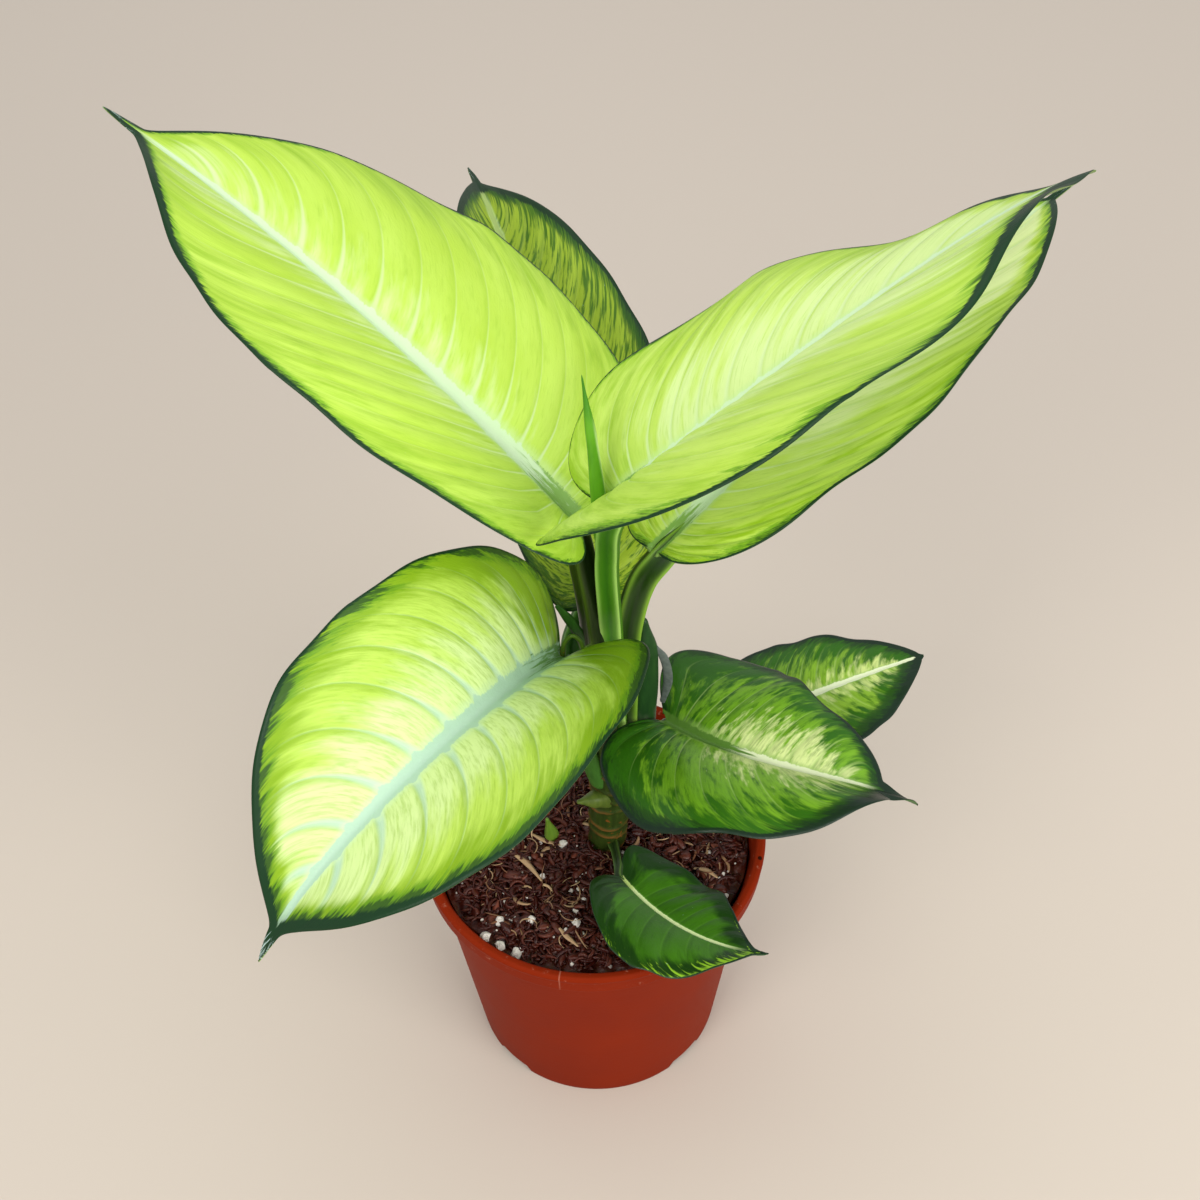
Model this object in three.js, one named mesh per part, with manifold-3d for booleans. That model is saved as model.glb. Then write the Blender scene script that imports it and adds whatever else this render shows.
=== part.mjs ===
// Potted dieffenbachia: a young plant with nine leaf organs on one cane, in a
// round plastic nursery pot filled with a bark and perlite mix.
// Millimetres, +Z up. The origin is the middle of the pot's foot, on the ground.
// Leaf headings are degrees anticlockwise from +X, seen from above.

import * as THREE from 'three';
import { mergeVertices } from 'three/addons/utils/BufferGeometryUtils.js';
import Module from 'manifold-3d';

const wasm = await Module();
wasm.setup();

const GAP = 0.35; // clearance between pieces that touch
const FULL_TURN = 2 * Math.PI;
const radians = THREE.MathUtils.degToRad;
const vector = (x, y, z) => new THREE.Vector3(x, y, z);

// ---------------------------------------------------------------- driving dimensions

const POT = {
  height: 129,
  rimRadius: 75,
  mouthRadius: 70.5,
  wallTopRadius: 69.8,
  footRadius: 56,
  wall: 1.9,
  lipHeight: 11.6,
  floorTop: 5.5,
  floorUnder: 3,
  footRing: 5,
  padRadius: 12,
  sides: 48,
};
const FOOT_NOTCH = { count: 4, width: 17, height: 4.2, first: 45 };
const DRAIN_HOLE = { count: 4, radius: 5, ring: 34, sides: 12 };

const MIX = { edgeHeight: 119.5, crown: 3, relief: 1.1, sides: 36, chips: 42, grains: 26, fibres: 8, seed: 7 };

const CANE = {
  path: [[5, 1, 62], [6, 0, 118], [8, 0, 150], [11, 0, 178], [12, 0, 192]],
  radii: [7.6, 7.8, 8.6, 10.6, 8.4],
  ringSpacing: 16,
  ringHeight: 0.9,
  sides: 12,
  steps: 24,
};
// The scar of a cut leaf stalk, left on the cane, and the sheath that wraps its right side.
const CUT_STALK = { path: [[8, -3, 158], [2, -9, 164], [-5, -12, 167]], radii: [5, 4, 2.2] };
const OLD_SHEATH = { path: [[13, 1, 150], [19, 3, 178], [21, 5, 214], [18, 6, 244]], radii: [5.5, 6.5, 5.6, 2] };
const BUD = { path: [[-18, 3, 100], [-18, 2, 122], [-19.5, 0, 138]], radii: [3, 3.2, 0.8] };

const BLADE = { thickness: 0.8, ribDepth: 2.6, rows: 17, columns: 4, bodyEnd: 0.93, dripWidth: 0.065 };

// One entry per leaf. base is where stalk and blade meet. rise and sag are the angles of
// the midrib above the level at its base and its fall along the length; swerve turns it
// sideways. roll and twist tip the blade about the midrib. Pairs are [left, right], as
// seen from the base towards the tip.
const LEAVES = {
  leaf_upper_left: {
    base: [-2, -3, 327], length: 246, heading: 137, rise: 25, sag: 15, arch: 1, swerve: 4,
    roll: 1, twist: 9, halfWidth: [59, 68], widest: 0.42, taper: 2.1, draw: 1.08, lobe: [35, 19],
    fold: [44, 31], unfold: 0.45, cup: 17, wave: 1.7, phase: -1,
    stalk: [[7, -3, 176], [4, -5, 220], [3, -5, 262], [0, -4, 300]], stalkRadius: [5.2, 4.2],
    colour: '#b9e244',
  },
  leaf_back: {
    base: [2, 23, 253], length: 213, heading: 103, rise: 45, sag: 60, arch: 1.55, swerve: 3,
    roll: 13, twist: -2, halfWidth: [42, 45], widest: 0.39, taper: 1.65, draw: 0.85, lobe: [11, 12],
    fold: [30, 26], unfold: 0, cup: 3, wave: 0.9, phase: -0.75,
    stalk: [[9, 5, 172], [6, 12, 205], [4, 19, 236]], stalkRadius: [4.6, 3.4],
    colour: '#7fae2a',
  },
  leaf_upper_right: {
    base: [8, -13, 345], length: 234, heading: 3, rise: 43, sag: 71, arch: 1.7, swerve: 48,
    roll: -22, twist: -21, halfWidth: [49, 60], widest: 0.39, taper: 1.32, draw: 1.33, lobe: [20, 35],
    fold: [65, 30], unfold: 1, cup: 19, wave: 3.3, phase: -0.8,
    stalk: [[11, 0, 180], [11, -1, 225], [10, -4, 266], [9, -9, 312]], stalkRadius: [4.6, 3.9],
    colour: '#c4e956',
  },
  leaf_right_behind: {
    base: [27, 4, 302], length: 225, heading: 35, rise: 25.5, sag: 22, arch: 1.5, swerve: 5,
    roll: -6, twist: -11, halfWidth: [52, 51], widest: 0.42, taper: 1.95, draw: 0.78, lobe: [12, 5],
    fold: [12, 17], unfold: 0.2, cup: 5, wave: 1.8, phase: 1.6,
    stalk: [[14, 2, 180], [16, 3, 222], [18, 3, 262], [23, 4, 287]], stalkRadius: [5, 4.6],
    colour: '#b4dc3c',
  },
  leaf_lower_left: {
    base: [-9, -15, 265], length: 187, heading: 246, rise: 38, sag: 99, arch: 1.27, swerve: -36,
    roll: -13, twist: -2, halfWidth: [58, 59], widest: 0.44, taper: 2.2, draw: 1.23, lobe: [11, 18],
    fold: [48, 49], unfold: 0.6, cup: 3, wave: 0.4, phase: 0.3,
    stalk: [[5, -3, 168], [-2, -8, 200], [-7, -11, 235]], stalkRadius: [5, 4],
    colour: '#c0e85a',
  },
  leaf_middle_right: {
    base: [31, 0, 205], length: 117, heading: -44, rise: 6, sag: 56, arch: 2.05, swerve: 59,
    roll: -8, twist: -16, halfWidth: [47, 52], widest: 0.26, taper: 1.47, draw: 0.87, lobe: [29, 13],
    fold: [39, 27], unfold: -0.34, cup: 33, wave: 3.7, phase: -0.1,
    stalk: [[13, -2, 150], [22, -3, 172], [28, -1, 194]], stalkRadius: [4.2, 2.9],
    colour: '#5a9c24',
  },
  leaf_far_right: {
    base: [56, 15, 177], length: 93, heading: 18, rise: 11, sag: 12, arch: 1.35, swerve: 2,
    roll: 8, twist: -6, halfWidth: [29, 31], widest: 0.38, taper: 1.85, draw: 0.67, lobe: [14, 8],
    fold: [9, 7], unfold: 0.5, cup: 13, wave: 1.4, phase: 2.6,
    stalk: [[13, 5, 136], [30, 13, 154], [47, 15, 171]], stalkRadius: [3.6, 2.4],
    colour: '#6aa833',
  },
  leaf_front_small: {
    base: [12, -29, 135], length: 76, heading: -55, rise: -5, sag: -27, arch: 1.1, swerve: 34,
    roll: -16, twist: 16, halfWidth: [26, 32], widest: 0.43, taper: 1.7, draw: 1.18, lobe: [20, 9],
    fold: [17, 24], unfold: 0.7, cup: 18, wave: 1.2, phase: -2.85,
    stalk: [[8, -3, 127], [10, -14, 131], [11, -23, 134]], stalkRadius: [2.8, 2],
    colour: '#2f6f22',
  },
};

// The newest leaf is still rolled up, a spear that rises out of the groove of the upper
// right leaf's stalk and stands in the fold of its blade.
const SPEAR = {
  path: [[8.5, -9.5, 312], [6.6, -12.6, 330], [6, -15, 352], [4.4, -10, 374], [1.8, -3, 396]],
  radii: [2.2, 2.6, 2.6, 1.9, 0.4],
  sides: 8,
  steps: 10,
};

// ---------------------------------------------------------------- solids

function solidOf(geometry) {
  const welded = geometry.clone();
  welded.deleteAttribute('normal');
  welded.deleteAttribute('uv');
  const merged = mergeVertices(welded, 1e-4);
  return new wasm.Manifold(new wasm.Mesh({
    numProp: 3,
    vertProperties: new Float32Array(merged.attributes.position.array),
    triVerts: new Uint32Array(merged.index.array),
  }));
}

function geometryOf(solid) {
  const mesh = solid.getMesh();
  const geometry = new THREE.BufferGeometry();
  geometry.setAttribute('position', new THREE.BufferAttribute(mesh.vertProperties, 3));
  geometry.setIndex(new THREE.BufferAttribute(mesh.triVerts, 1));
  geometry.computeVertexNormals();
  return geometry;
}

// Keeps the largest body of a cut, without loose scraps.
function largestBody(solid) {
  const bodies = solid.decompose();
  return bodies.reduce((best, body) => (body.volume() > best.volume() ? body : best));
}

function geometryFromPoints(points, triangles) {
  const geometry = new THREE.BufferGeometry();
  geometry.setAttribute('position', new THREE.Float32BufferAttribute(points.flatMap((p) => p.toArray()), 3));
  geometry.setIndex(triangles);
  return geometry;
}

// A closed skin over a stack of rings with the same number of points, each anticlockwise
// seen from the last ring. A pole closes each end.
function stackRings(rings, firstPole, lastPole) {
  const sides = rings[0].length;
  const points = [firstPole, ...rings.flat(), lastPole];
  const at = (ring, k) => 1 + ring * sides + (k % sides);
  const triangles = [];
  for (let k = 0; k < sides; k++) {
    triangles.push(0, at(0, k + 1), at(0, k));
    for (let ring = 0; ring + 1 < rings.length; ring++) {
      triangles.push(at(ring, k), at(ring, k + 1), at(ring + 1, k + 1));
      triangles.push(at(ring, k), at(ring + 1, k + 1), at(ring + 1, k));
    }
    triangles.push(points.length - 1, at(rings.length - 1, k), at(rings.length - 1, k + 1));
  }
  return geometryFromPoints(points, triangles);
}

function curveThrough(list) {
  return new THREE.CatmullRomCurve3(list.map((p) => vector(...p)), false, 'centripetal');
}

// Value of a list of sizes, spread evenly along a path, at the fraction s of its length.
function along(list, s) {
  const place = s * (list.length - 1);
  const i = Math.min(Math.floor(place), list.length - 2);
  return THREE.MathUtils.lerp(list[i], list[i + 1], THREE.MathUtils.smoothstep(place - i, 0, 1));
}

// A rod along a curve. inner is the direction that the front of its section faces, and
// shape(angle, s) scales the radius there.
function rod(curve, radii, { sides = 12, steps = 10, grow = 0, inner = vector(0, 1, 0), shape = () => 1 } = {}) {
  const rings = [];
  for (let i = 0; i <= steps; i++) {
    const s = i / steps;
    const tangent = curve.getTangent(s);
    const front = inner.clone().addScaledVector(tangent, -inner.dot(tangent)).normalize();
    const side = tangent.clone().cross(front);
    const centre = curve.getPoint(s);
    rings.push(Array.from({ length: sides }, (_, k) => {
      const angle = (FULL_TURN * k) / sides;
      const radius = along(radii, s) * shape(angle, s) + grow;
      return centre.clone()
        .addScaledVector(front, radius * Math.cos(angle))
        .addScaledVector(side, radius * Math.sin(angle));
    }));
  }
  const overshoot = grow + 0.2;
  const first = curve.getPoint(0).addScaledVector(curve.getTangent(0), -overshoot);
  const last = curve.getPoint(1).addScaledVector(curve.getTangent(1), overshoot);
  return solidOf(stackRings(rings, first, last));
}

function seededRandom(seed) {
  let state = seed;
  return () => {
    state = (state * 1664525 + 1013904223) % 4294967296;
    return state / 4294967296;
  };
}

// ---------------------------------------------------------------- leaves

function ribDirection(leaf, s) {
  const heading = radians(leaf.heading + leaf.swerve * s);
  const rise = radians(leaf.rise - leaf.sag * s ** leaf.arch);
  return vector(Math.cos(rise) * Math.cos(heading), Math.cos(rise) * Math.sin(heading), Math.sin(rise));
}

// The midrib as a list of points, one per step of equal length.
function ribPoints(leaf, steps = 48) {
  const points = [vector(...leaf.base)];
  for (let i = 0; i < steps; i++) {
    const step = ribDirection(leaf, (i + 0.5) / steps).multiplyScalar(leaf.length / steps);
    points.push(points[i].clone().add(step));
  }
  return points;
}

// Point, and forward, left and up directions, at the fraction s of the midrib.
function ribFrame(leaf, points, s) {
  const place = s * (points.length - 1);
  const i = Math.min(Math.floor(place), points.length - 2);
  const forward = ribDirection(leaf, s);
  const level = vector(-forward.y, forward.x, 0).normalize();
  const upright = forward.clone().cross(level);
  const tilt = radians(leaf.roll + leaf.twist * s);
  return {
    centre: points[i].clone().lerp(points[i + 1], place - i),
    forward,
    left: level.clone().multiplyScalar(Math.cos(tilt)).addScaledVector(upright, Math.sin(tilt)),
    up: upright.clone().multiplyScalar(Math.cos(tilt)).addScaledVector(level, -Math.sin(tilt)),
  };
}

// Half width of the blade as a share of its widest: a round base, a tapering body and a
// narrow drip tip.
function outline(leaf, u) {
  const { bodyEnd, dripWidth } = BLADE;
  if (u < leaf.widest) return Math.sqrt(1 - ((leaf.widest - u) / leaf.widest) ** 2.2);
  const b = Math.min((u - leaf.widest) / (bodyEnd - leaf.widest), 1);
  const body = (1 - b ** leaf.taper) ** leaf.draw;
  const drip = dripWidth * Math.min((1 - u) / (1 - bodyEnd) / 1.6, 1) ** 0.8;
  return Math.hypot(body, drip);
}

// Blade surface at u along the leaf and t from midrib (0) to margin (1) on one side
// (1 left, -1 right). Rows run from the midrib out and forward as the side veins do.
function bladePoint(leaf, points, u, t, side) {
  const pick = (pair) => (side > 0 ? pair[0] : pair[1]);
  const turn = Math.acos(THREE.MathUtils.clamp(1 - u / leaf.widest, 0, 1));
  const lobeShift = u < leaf.widest ? pick(leaf.lobe) * Math.sin(2 * turn) * Math.cos(turn) : 0;
  const marginX = leaf.length * u - lobeShift;
  const ribX = leaf.length * u ** 1.2;
  const x = ribX + (marginX - ribX) * t ** 1.5;
  const y = pick(leaf.halfWidth) * outline(leaf, u) * t;
  const s = THREE.MathUtils.clamp(x / leaf.length, 0, 1);
  const frame = ribFrame(leaf, points, s);
  const angle = radians(pick(leaf.fold) * (1 - leaf.unfold * s) - (leaf.cup * y) / 50);
  const ripple = Math.sin(FULL_TURN * 3 * u + leaf.phase + (side > 0 ? 0 : 1.3));
  const wave = leaf.wave * t ** 2 * Math.sqrt(Math.sin(Math.PI * u)) * ripple;
  const position = frame.centre
    .addScaledVector(frame.forward, Math.min(x, 0))
    .addScaledVector(frame.left, side * y * Math.cos(angle))
    .addScaledVector(frame.up, y * Math.sin(angle) + wave);
  const slope = (angle - radians((leaf.cup * y) / 50)) * Math.min(t / 0.2, 1);
  const normal = frame.up.clone().multiplyScalar(Math.cos(slope))
    .addScaledVector(frame.left, -side * Math.sin(slope));
  return { position, normal };
}

// The blade as one thin closed shell: the upper face, an under face split into the same
// triangles, and the edge between them. The midrib stands out below.
function bladeSolid(leaf, points, grow = 0) {
  const { rows, columns } = BLADE;
  const half = BLADE.thickness / 2 + grow;
  const upper = [];
  const under = [];
  const place = (u, column) => {
    const side = column < 0 ? -1 : 1;
    const { position, normal } = bladePoint(leaf, points, u, (1 + grow / 20) * Math.abs(column) / columns, side);
    const ridge = column === 0 ? BLADE.ribDepth * (1 - u) ** 0.8 : 0;
    upper.push(position.clone().addScaledVector(normal, half));
    under.push(position.clone().addScaledVector(normal, -half - ridge));
  };
  place(0, 0);
  for (let i = 1; i < rows; i++) {
    const u = (1 - Math.cos((Math.PI * i) / rows)) / 2;
    for (let column = -columns; column <= columns; column++) place(u, column);
  }
  place(1, 0);

  const width = 2 * columns + 1;
  const tip = upper.length - 1;
  const at = (row, k) => 1 + (row - 1) * width + k;
  const face = [];
  for (let k = 0; k + 1 < width; k++) {
    face.push([0, at(1, k), at(1, k + 1)]);
    for (let row = 1; row + 1 < rows; row++) {
      face.push([at(row, k), at(row + 1, k), at(row + 1, k + 1)]);
      face.push([at(row, k), at(row + 1, k + 1), at(row, k + 1)]);
    }
    face.push([at(rows - 1, k), tip, at(rows - 1, k + 1)]);
  }
  const rightMargin = Array.from({ length: rows - 1 }, (_, i) => at(i + 1, 0));
  const leftMargin = Array.from({ length: rows - 1 }, (_, i) => at(rows - 1 - i, width - 1));
  const loop = [0, ...rightMargin, tip, ...leftMargin];
  const below = upper.length;
  const triangles = face.flatMap(([a, b, c]) => [a, b, c, below + a, below + c, below + b]);
  loop.forEach((p, i) => {
    const q = loop[(i + 1) % loop.length];
    triangles.push(q, p, below + p, q, below + p, below + q);
  });
  return solidOf(geometryFromPoints([...upper, ...under], triangles));
}

// The stalk: a rod with a groove on its inner side, wider at its clasping foot. It meets
// the blade's base from below and thins out along the under side of the midrib.
function stalkSolid(leaf, points, grow = 0) {
  const [foot, neck] = leaf.stalkRadius;
  const underRib = (share, depth) => {
    const frame = ribFrame(leaf, points, share);
    return frame.centre.addScaledVector(frame.up, -depth).toArray();
  };
  const curve = curveThrough([...leaf.stalk, underRib(0, 0.5 * neck), underRib(0.1, BLADE.ribDepth)]);
  const radii = [foot, ...leaf.stalk.map(() => neck), 0.4 * neck];
  const heading = radians(leaf.heading);
  const groove = (angle) => 1 - 0.22 * Math.exp(-((Math.min(angle, FULL_TURN - angle) / 0.6) ** 2));
  return rod(curve, radii, {
    grow,
    sides: 10,
    steps: 10,
    inner: vector(-Math.cos(heading), -Math.sin(heading), 0.8),
    shape: groove,
  });
}

// ---------------------------------------------------------------- pot

function potSolid() {
  const p = POT;
  const lipBottom = p.height - p.lipHeight;
  const innerRadius = (z) => p.footRadius + ((p.wallTopRadius - p.footRadius) * z) / lipBottom - p.wall;
  const profile = [
    [0, 0], [p.padRadius, 0], [p.padRadius + 1, p.floorUnder],
    [p.footRadius - p.footRing - 1, p.floorUnder], [p.footRadius - p.footRing, 0],
    [p.footRadius - 1, 0], [p.footRadius, 1],
    [p.wallTopRadius - 0.7, lipBottom - 6], [p.wallTopRadius + 0.5, lipBottom - 4.6],
    [p.wallTopRadius, lipBottom - 3.2], [p.wallTopRadius, lipBottom],
    [p.rimRadius - 1.6, lipBottom], [p.rimRadius - 0.7, lipBottom + 1],
    [p.rimRadius, p.height - 2.2], [p.rimRadius - 0.5, p.height - 0.6],
    [p.rimRadius - 1.8, p.height], [p.mouthRadius + 0.9, p.height - 0.3],
    [p.mouthRadius, p.height - 1.6],
    [innerRadius(lipBottom) - 0.2, lipBottom - 1], [innerRadius(p.floorTop), p.floorTop],
    [0, p.floorTop],
  ].map(([radius, z]) => new THREE.Vector2(radius, z));
  const shell = new THREE.LatheGeometry(profile, p.sides);
  shell.rotateX(Math.PI / 2);
  let solid = solidOf(shell);
  for (let i = 0; i < FOOT_NOTCH.count; i++) {
    const angle = radians(FOOT_NOTCH.first + (360 * i) / FOOT_NOTCH.count);
    const notch = new THREE.BoxGeometry(2 * p.footRing + 6, FOOT_NOTCH.width, 2 * FOOT_NOTCH.height);
    notch.translate(p.footRadius, 0, 0);
    notch.rotateZ(angle);
    solid = solid.subtract(solidOf(notch));
  }
  for (let i = 0; i < DRAIN_HOLE.count; i++) {
    const angle = radians((360 * i) / DRAIN_HOLE.count);
    const hole = new THREE.CylinderGeometry(DRAIN_HOLE.radius, DRAIN_HOLE.radius, 4 * p.floorTop, DRAIN_HOLE.sides);
    hole.rotateX(Math.PI / 2);
    hole.translate(DRAIN_HOLE.ring * Math.cos(angle), DRAIN_HOLE.ring * Math.sin(angle), 0);
    solid = solid.subtract(solidOf(hole));
  }
  return solid;
}

// ---------------------------------------------------------------- potting mix

function mixHeight(x, y) {
  const dome = 1 - (x * x + y * y) / POT.mouthRadius ** 2;
  const bumps = Math.sin(x / 7.3 + 1.2) * Math.cos(y / 6.1) + 0.7 * Math.sin(x / 3.9 - y / 4.7);
  return MIX.edgeHeight + MIX.crown * dome + MIX.relief * bumps;
}

function mixSolid() {
  const p = POT;
  const lipBottom = p.height - p.lipHeight;
  const wallAt = (z) => p.footRadius + ((p.wallTopRadius - p.footRadius) * z) / lipBottom - p.wall - GAP - 0.3;
  const ringOf = (radius, heightAt) => Array.from({ length: MIX.sides }, (_, k) => {
    const angle = (FULL_TURN * k) / MIX.sides;
    const x = radius * Math.cos(angle);
    const y = radius * Math.sin(angle);
    return vector(x, y, heightAt(x, y));
  });
  const bottom = p.floorTop + GAP;
  const brim = MIX.edgeHeight - 6;
  const edge = wallAt(brim);
  const rings = [
    ringOf(wallAt(bottom), () => bottom),
    ringOf(edge, () => brim),
    ...[0.985, 0.86, 0.73, 0.6, 0.46, 0.32, 0.16].map((share) => ringOf(edge * share, mixHeight)),
  ];
  let solid = solidOf(stackRings(rings, vector(0, 0, bottom), vector(0, 0, mixHeight(0, 0))));

  const random = seededRandom(MIX.seed);
  const between = (low, high) => low + (high - low) * random();
  const scatter = (geometry, sink) => {
    const radius = (edge - 8) * Math.sqrt(between(0.02, 1));
    const angle = FULL_TURN * random();
    const x = radius * Math.cos(angle);
    const y = radius * Math.sin(angle);
    geometry.rotateX(between(-0.35, 0.35));
    geometry.rotateY(between(-0.35, 0.35));
    geometry.rotateZ(FULL_TURN * random());
    geometry.translate(x, y, mixHeight(x, y) - sink);
    solid = solid.add(solidOf(geometry));
  };
  for (let i = 0; i < MIX.chips; i++) {
    scatter(new THREE.BoxGeometry(between(6, 13), between(3, 6), between(2.4, 4)), 0.2);
  }
  for (let i = 0; i < MIX.grains; i++) {
    scatter(new THREE.IcosahedronGeometry(between(1.5, 2.8), 0), 0.1);
  }
  for (let i = 0; i < MIX.fibres; i++) {
    scatter(shred(between(6, 11), 0.9, between(1.4, 2.2)), 0.2);
  }
  return solid;
}

// A thin shred of bark, bent in an arc.
function shred(bow, radius, sweep) {
  const sides = 4;
  const steps = 5;
  const onArc = (angle) => vector(bow * (Math.cos(angle) - 1), bow * Math.sin(angle), 0);
  const rings = Array.from({ length: steps + 1 }, (_, i) => {
    const angle = (sweep * i) / steps;
    return Array.from({ length: sides }, (_, k) => {
      const turn = (FULL_TURN * k) / sides;
      const out = radius * Math.cos(turn);
      return onArc(angle).add(vector(out * Math.cos(angle), out * Math.sin(angle), -radius * Math.sin(turn)));
    });
  });
  return stackRings(rings, onArc(0), onArc(sweep));
}

// ---------------------------------------------------------------- assembly

const group = new THREE.Group();

function addPiece(name, solid, colour, roughness) {
  const material = new THREE.MeshStandardMaterial({ color: colour, roughness, metalness: 0 });
  const mesh = new THREE.Mesh(geometryOf(largestBody(solid)), material);
  mesh.name = name;
  group.add(mesh);
}

// Leaves from the innermost out: each makes room for the ones it clasps.
const INNER_TO_OUTER = [
  'leaf_upper_right', 'leaf_upper_left', 'leaf_right_behind', 'leaf_back', 'leaf_lower_left',
  'leaf_middle_right', 'leaf_far_right', 'leaf_front_small',
];
const spearOptions = { sides: SPEAR.sides, steps: SPEAR.steps };
const spear = rod(curveThrough(SPEAR.path), SPEAR.radii, spearOptions);
let taken = rod(curveThrough(SPEAR.path), SPEAR.radii, { ...spearOptions, grow: GAP });
addPiece('leaf_spear', spear, '#6fae2c', 0.45);

for (const name of INNER_TO_OUTER) {
  const leaf = LEAVES[name];
  const points = ribPoints(leaf);
  const solid = bladeSolid(leaf, points).add(stalkSolid(leaf, points)).subtract(taken);
  addPiece(name, solid, leaf.colour, 0.42);
  taken = taken.add(stalkSolid(leaf, points, GAP));
}

const caneShape = (angle, s) => {
  const climb = s * (CANE.path.at(-1)[2] - CANE.path[0][2]);
  const scar = Math.max(0, Math.cos((FULL_TURN * climb) / CANE.ringSpacing)) ** 6;
  return 1 + (CANE.ringHeight * scar) / CANE.radii[0];
};
const cane = (grow) => rod(curveThrough(CANE.path), CANE.radii, {
  sides: CANE.sides, steps: CANE.steps, grow, shape: caneShape,
});
const growth = (part, grow) => rod(curveThrough(part.path), part.radii, { sides: 8, steps: 6, grow });
const caneParts = (grow) => cane(grow).add(growth(CUT_STALK, grow)).add(growth(OLD_SHEATH, grow));
addPiece('cane', caneParts(0).subtract(taken), '#5d7a34', 0.55);

addPiece('bud', growth(BUD, 0), '#6d9c3c', 0.5);
taken = taken.add(caneParts(GAP)).add(growth(BUD, GAP));
addPiece('potting_mix', mixSolid().subtract(taken), '#4a2418', 0.95);
addPiece('pot', potSolid(), '#b4472a', 0.5);

export default group;
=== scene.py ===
import bpy
import numpy as np
from mathutils import Matrix, Vector


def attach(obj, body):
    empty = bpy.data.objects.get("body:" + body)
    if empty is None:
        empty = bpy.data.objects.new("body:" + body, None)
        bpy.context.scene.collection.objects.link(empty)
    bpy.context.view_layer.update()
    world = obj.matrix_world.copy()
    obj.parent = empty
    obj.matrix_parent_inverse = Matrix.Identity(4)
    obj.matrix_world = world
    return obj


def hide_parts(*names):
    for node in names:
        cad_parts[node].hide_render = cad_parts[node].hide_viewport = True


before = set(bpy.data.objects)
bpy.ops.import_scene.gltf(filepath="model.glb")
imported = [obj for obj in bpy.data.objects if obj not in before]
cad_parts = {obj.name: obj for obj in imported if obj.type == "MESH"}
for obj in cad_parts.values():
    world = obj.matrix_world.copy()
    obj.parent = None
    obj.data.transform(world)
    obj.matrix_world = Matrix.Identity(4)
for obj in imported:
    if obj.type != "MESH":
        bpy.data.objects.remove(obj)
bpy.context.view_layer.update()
MM = 0.001

# ------------------------------------------------------------------ the pot
# A round nursery pot, injection moulded in terracotta-coloured polypropylene. Its rolled
# lip carries the weight when it is lifted, a small bead stiffens the wall below the lip,
# and four wide notches in the foot let water out from the drain holes in the floor.

POT_HEIGHT = 129.0
RIM_RADIUS = 75.0
MOUTH_RADIUS = 70.5
WALL_TOP_RADIUS = 69.8
FOOT_RADIUS = 56.0
POT_WALL = 1.9
LIP_HEIGHT = 11.6
FLOOR_TOP = 5.5
FLOOR_UNDER = 3.0
FOOT_RING = 5.0
PAD_RADIUS = 12.0
NOTCH_WIDTH = 17.0
NOTCH_HEIGHT = 4.2
DRAIN_HOLES = 4
DRAIN_RADIUS = 5.0
DRAIN_RING = 34.0
DRAIN_SIDES = 32
DRILL_HEIGHTS = (-2.0, 9.0)
SEAM_ANGLE = np.radians(-101.7)
SEAM_HALF_ANGLE = 0.004
# Heights between which the dust begins, and the flow marks' sizes along X, Y and Z
DUSTY_HEIGHTS = (112 * MM, 127 * MM)
FLOW_MARKS = (111.1, 111.1, 3.333)
PINHOLE_PLACE = (71.4 * MM, -17.2 * MM, 129 * MM)
PINHOLE_RADIUS = 1.0 * MM


def linear(code):
    """An sRGB hex colour as the linear colour that a shader socket takes."""
    srgb = np.array([int(code[i:i + 2], 16) for i in (1, 3, 5)]) / 255
    rgb = np.where(srgb <= 0.04045, srgb / 12.92, ((srgb + 0.055) / 1.055) ** 2.4)
    return (*rgb.tolist(), 1.0)


def new_material(name):
    """A new material without nodes, and the function that adds nodes to it."""
    material = bpy.data.materials.new(name)
    material.use_nodes = True
    tree = material.node_tree
    tree.nodes.clear()

    def add(kind, inputs=(), take=0, **settings):
        """Adds a shader node and gives back one of its outputs. inputs are values under
        the sockets' names or numbers, or in their order: a number, a vector or colour, or
        the output of another node, which is linked."""
        node = tree.nodes.new("ShaderNode" + kind)
        for key, value in settings.items():
            setattr(node, key, value)
        for key, value in inputs.items() if isinstance(inputs, dict) else enumerate(inputs):
            if isinstance(value, bpy.types.NodeSocket):
                tree.links.new(value, node.inputs[key])
            else:
                node.inputs[key].default_value = value
        return node.outputs[take] if len(node.outputs) else None

    return material, add


def painted(add, base, *coats):
    """A colour under coats of paint, each given as its share of a place and its colour. A
    colour is an sRGB hex code or an output."""
    for share, coat in coats:
        under, over = (linear(colour) if isinstance(colour, str) else colour for colour in (base, coat))
        base = add("Mix", {0: share, 6: under, 7: over}, 2, data_type="RGBA")
    return base


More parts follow.
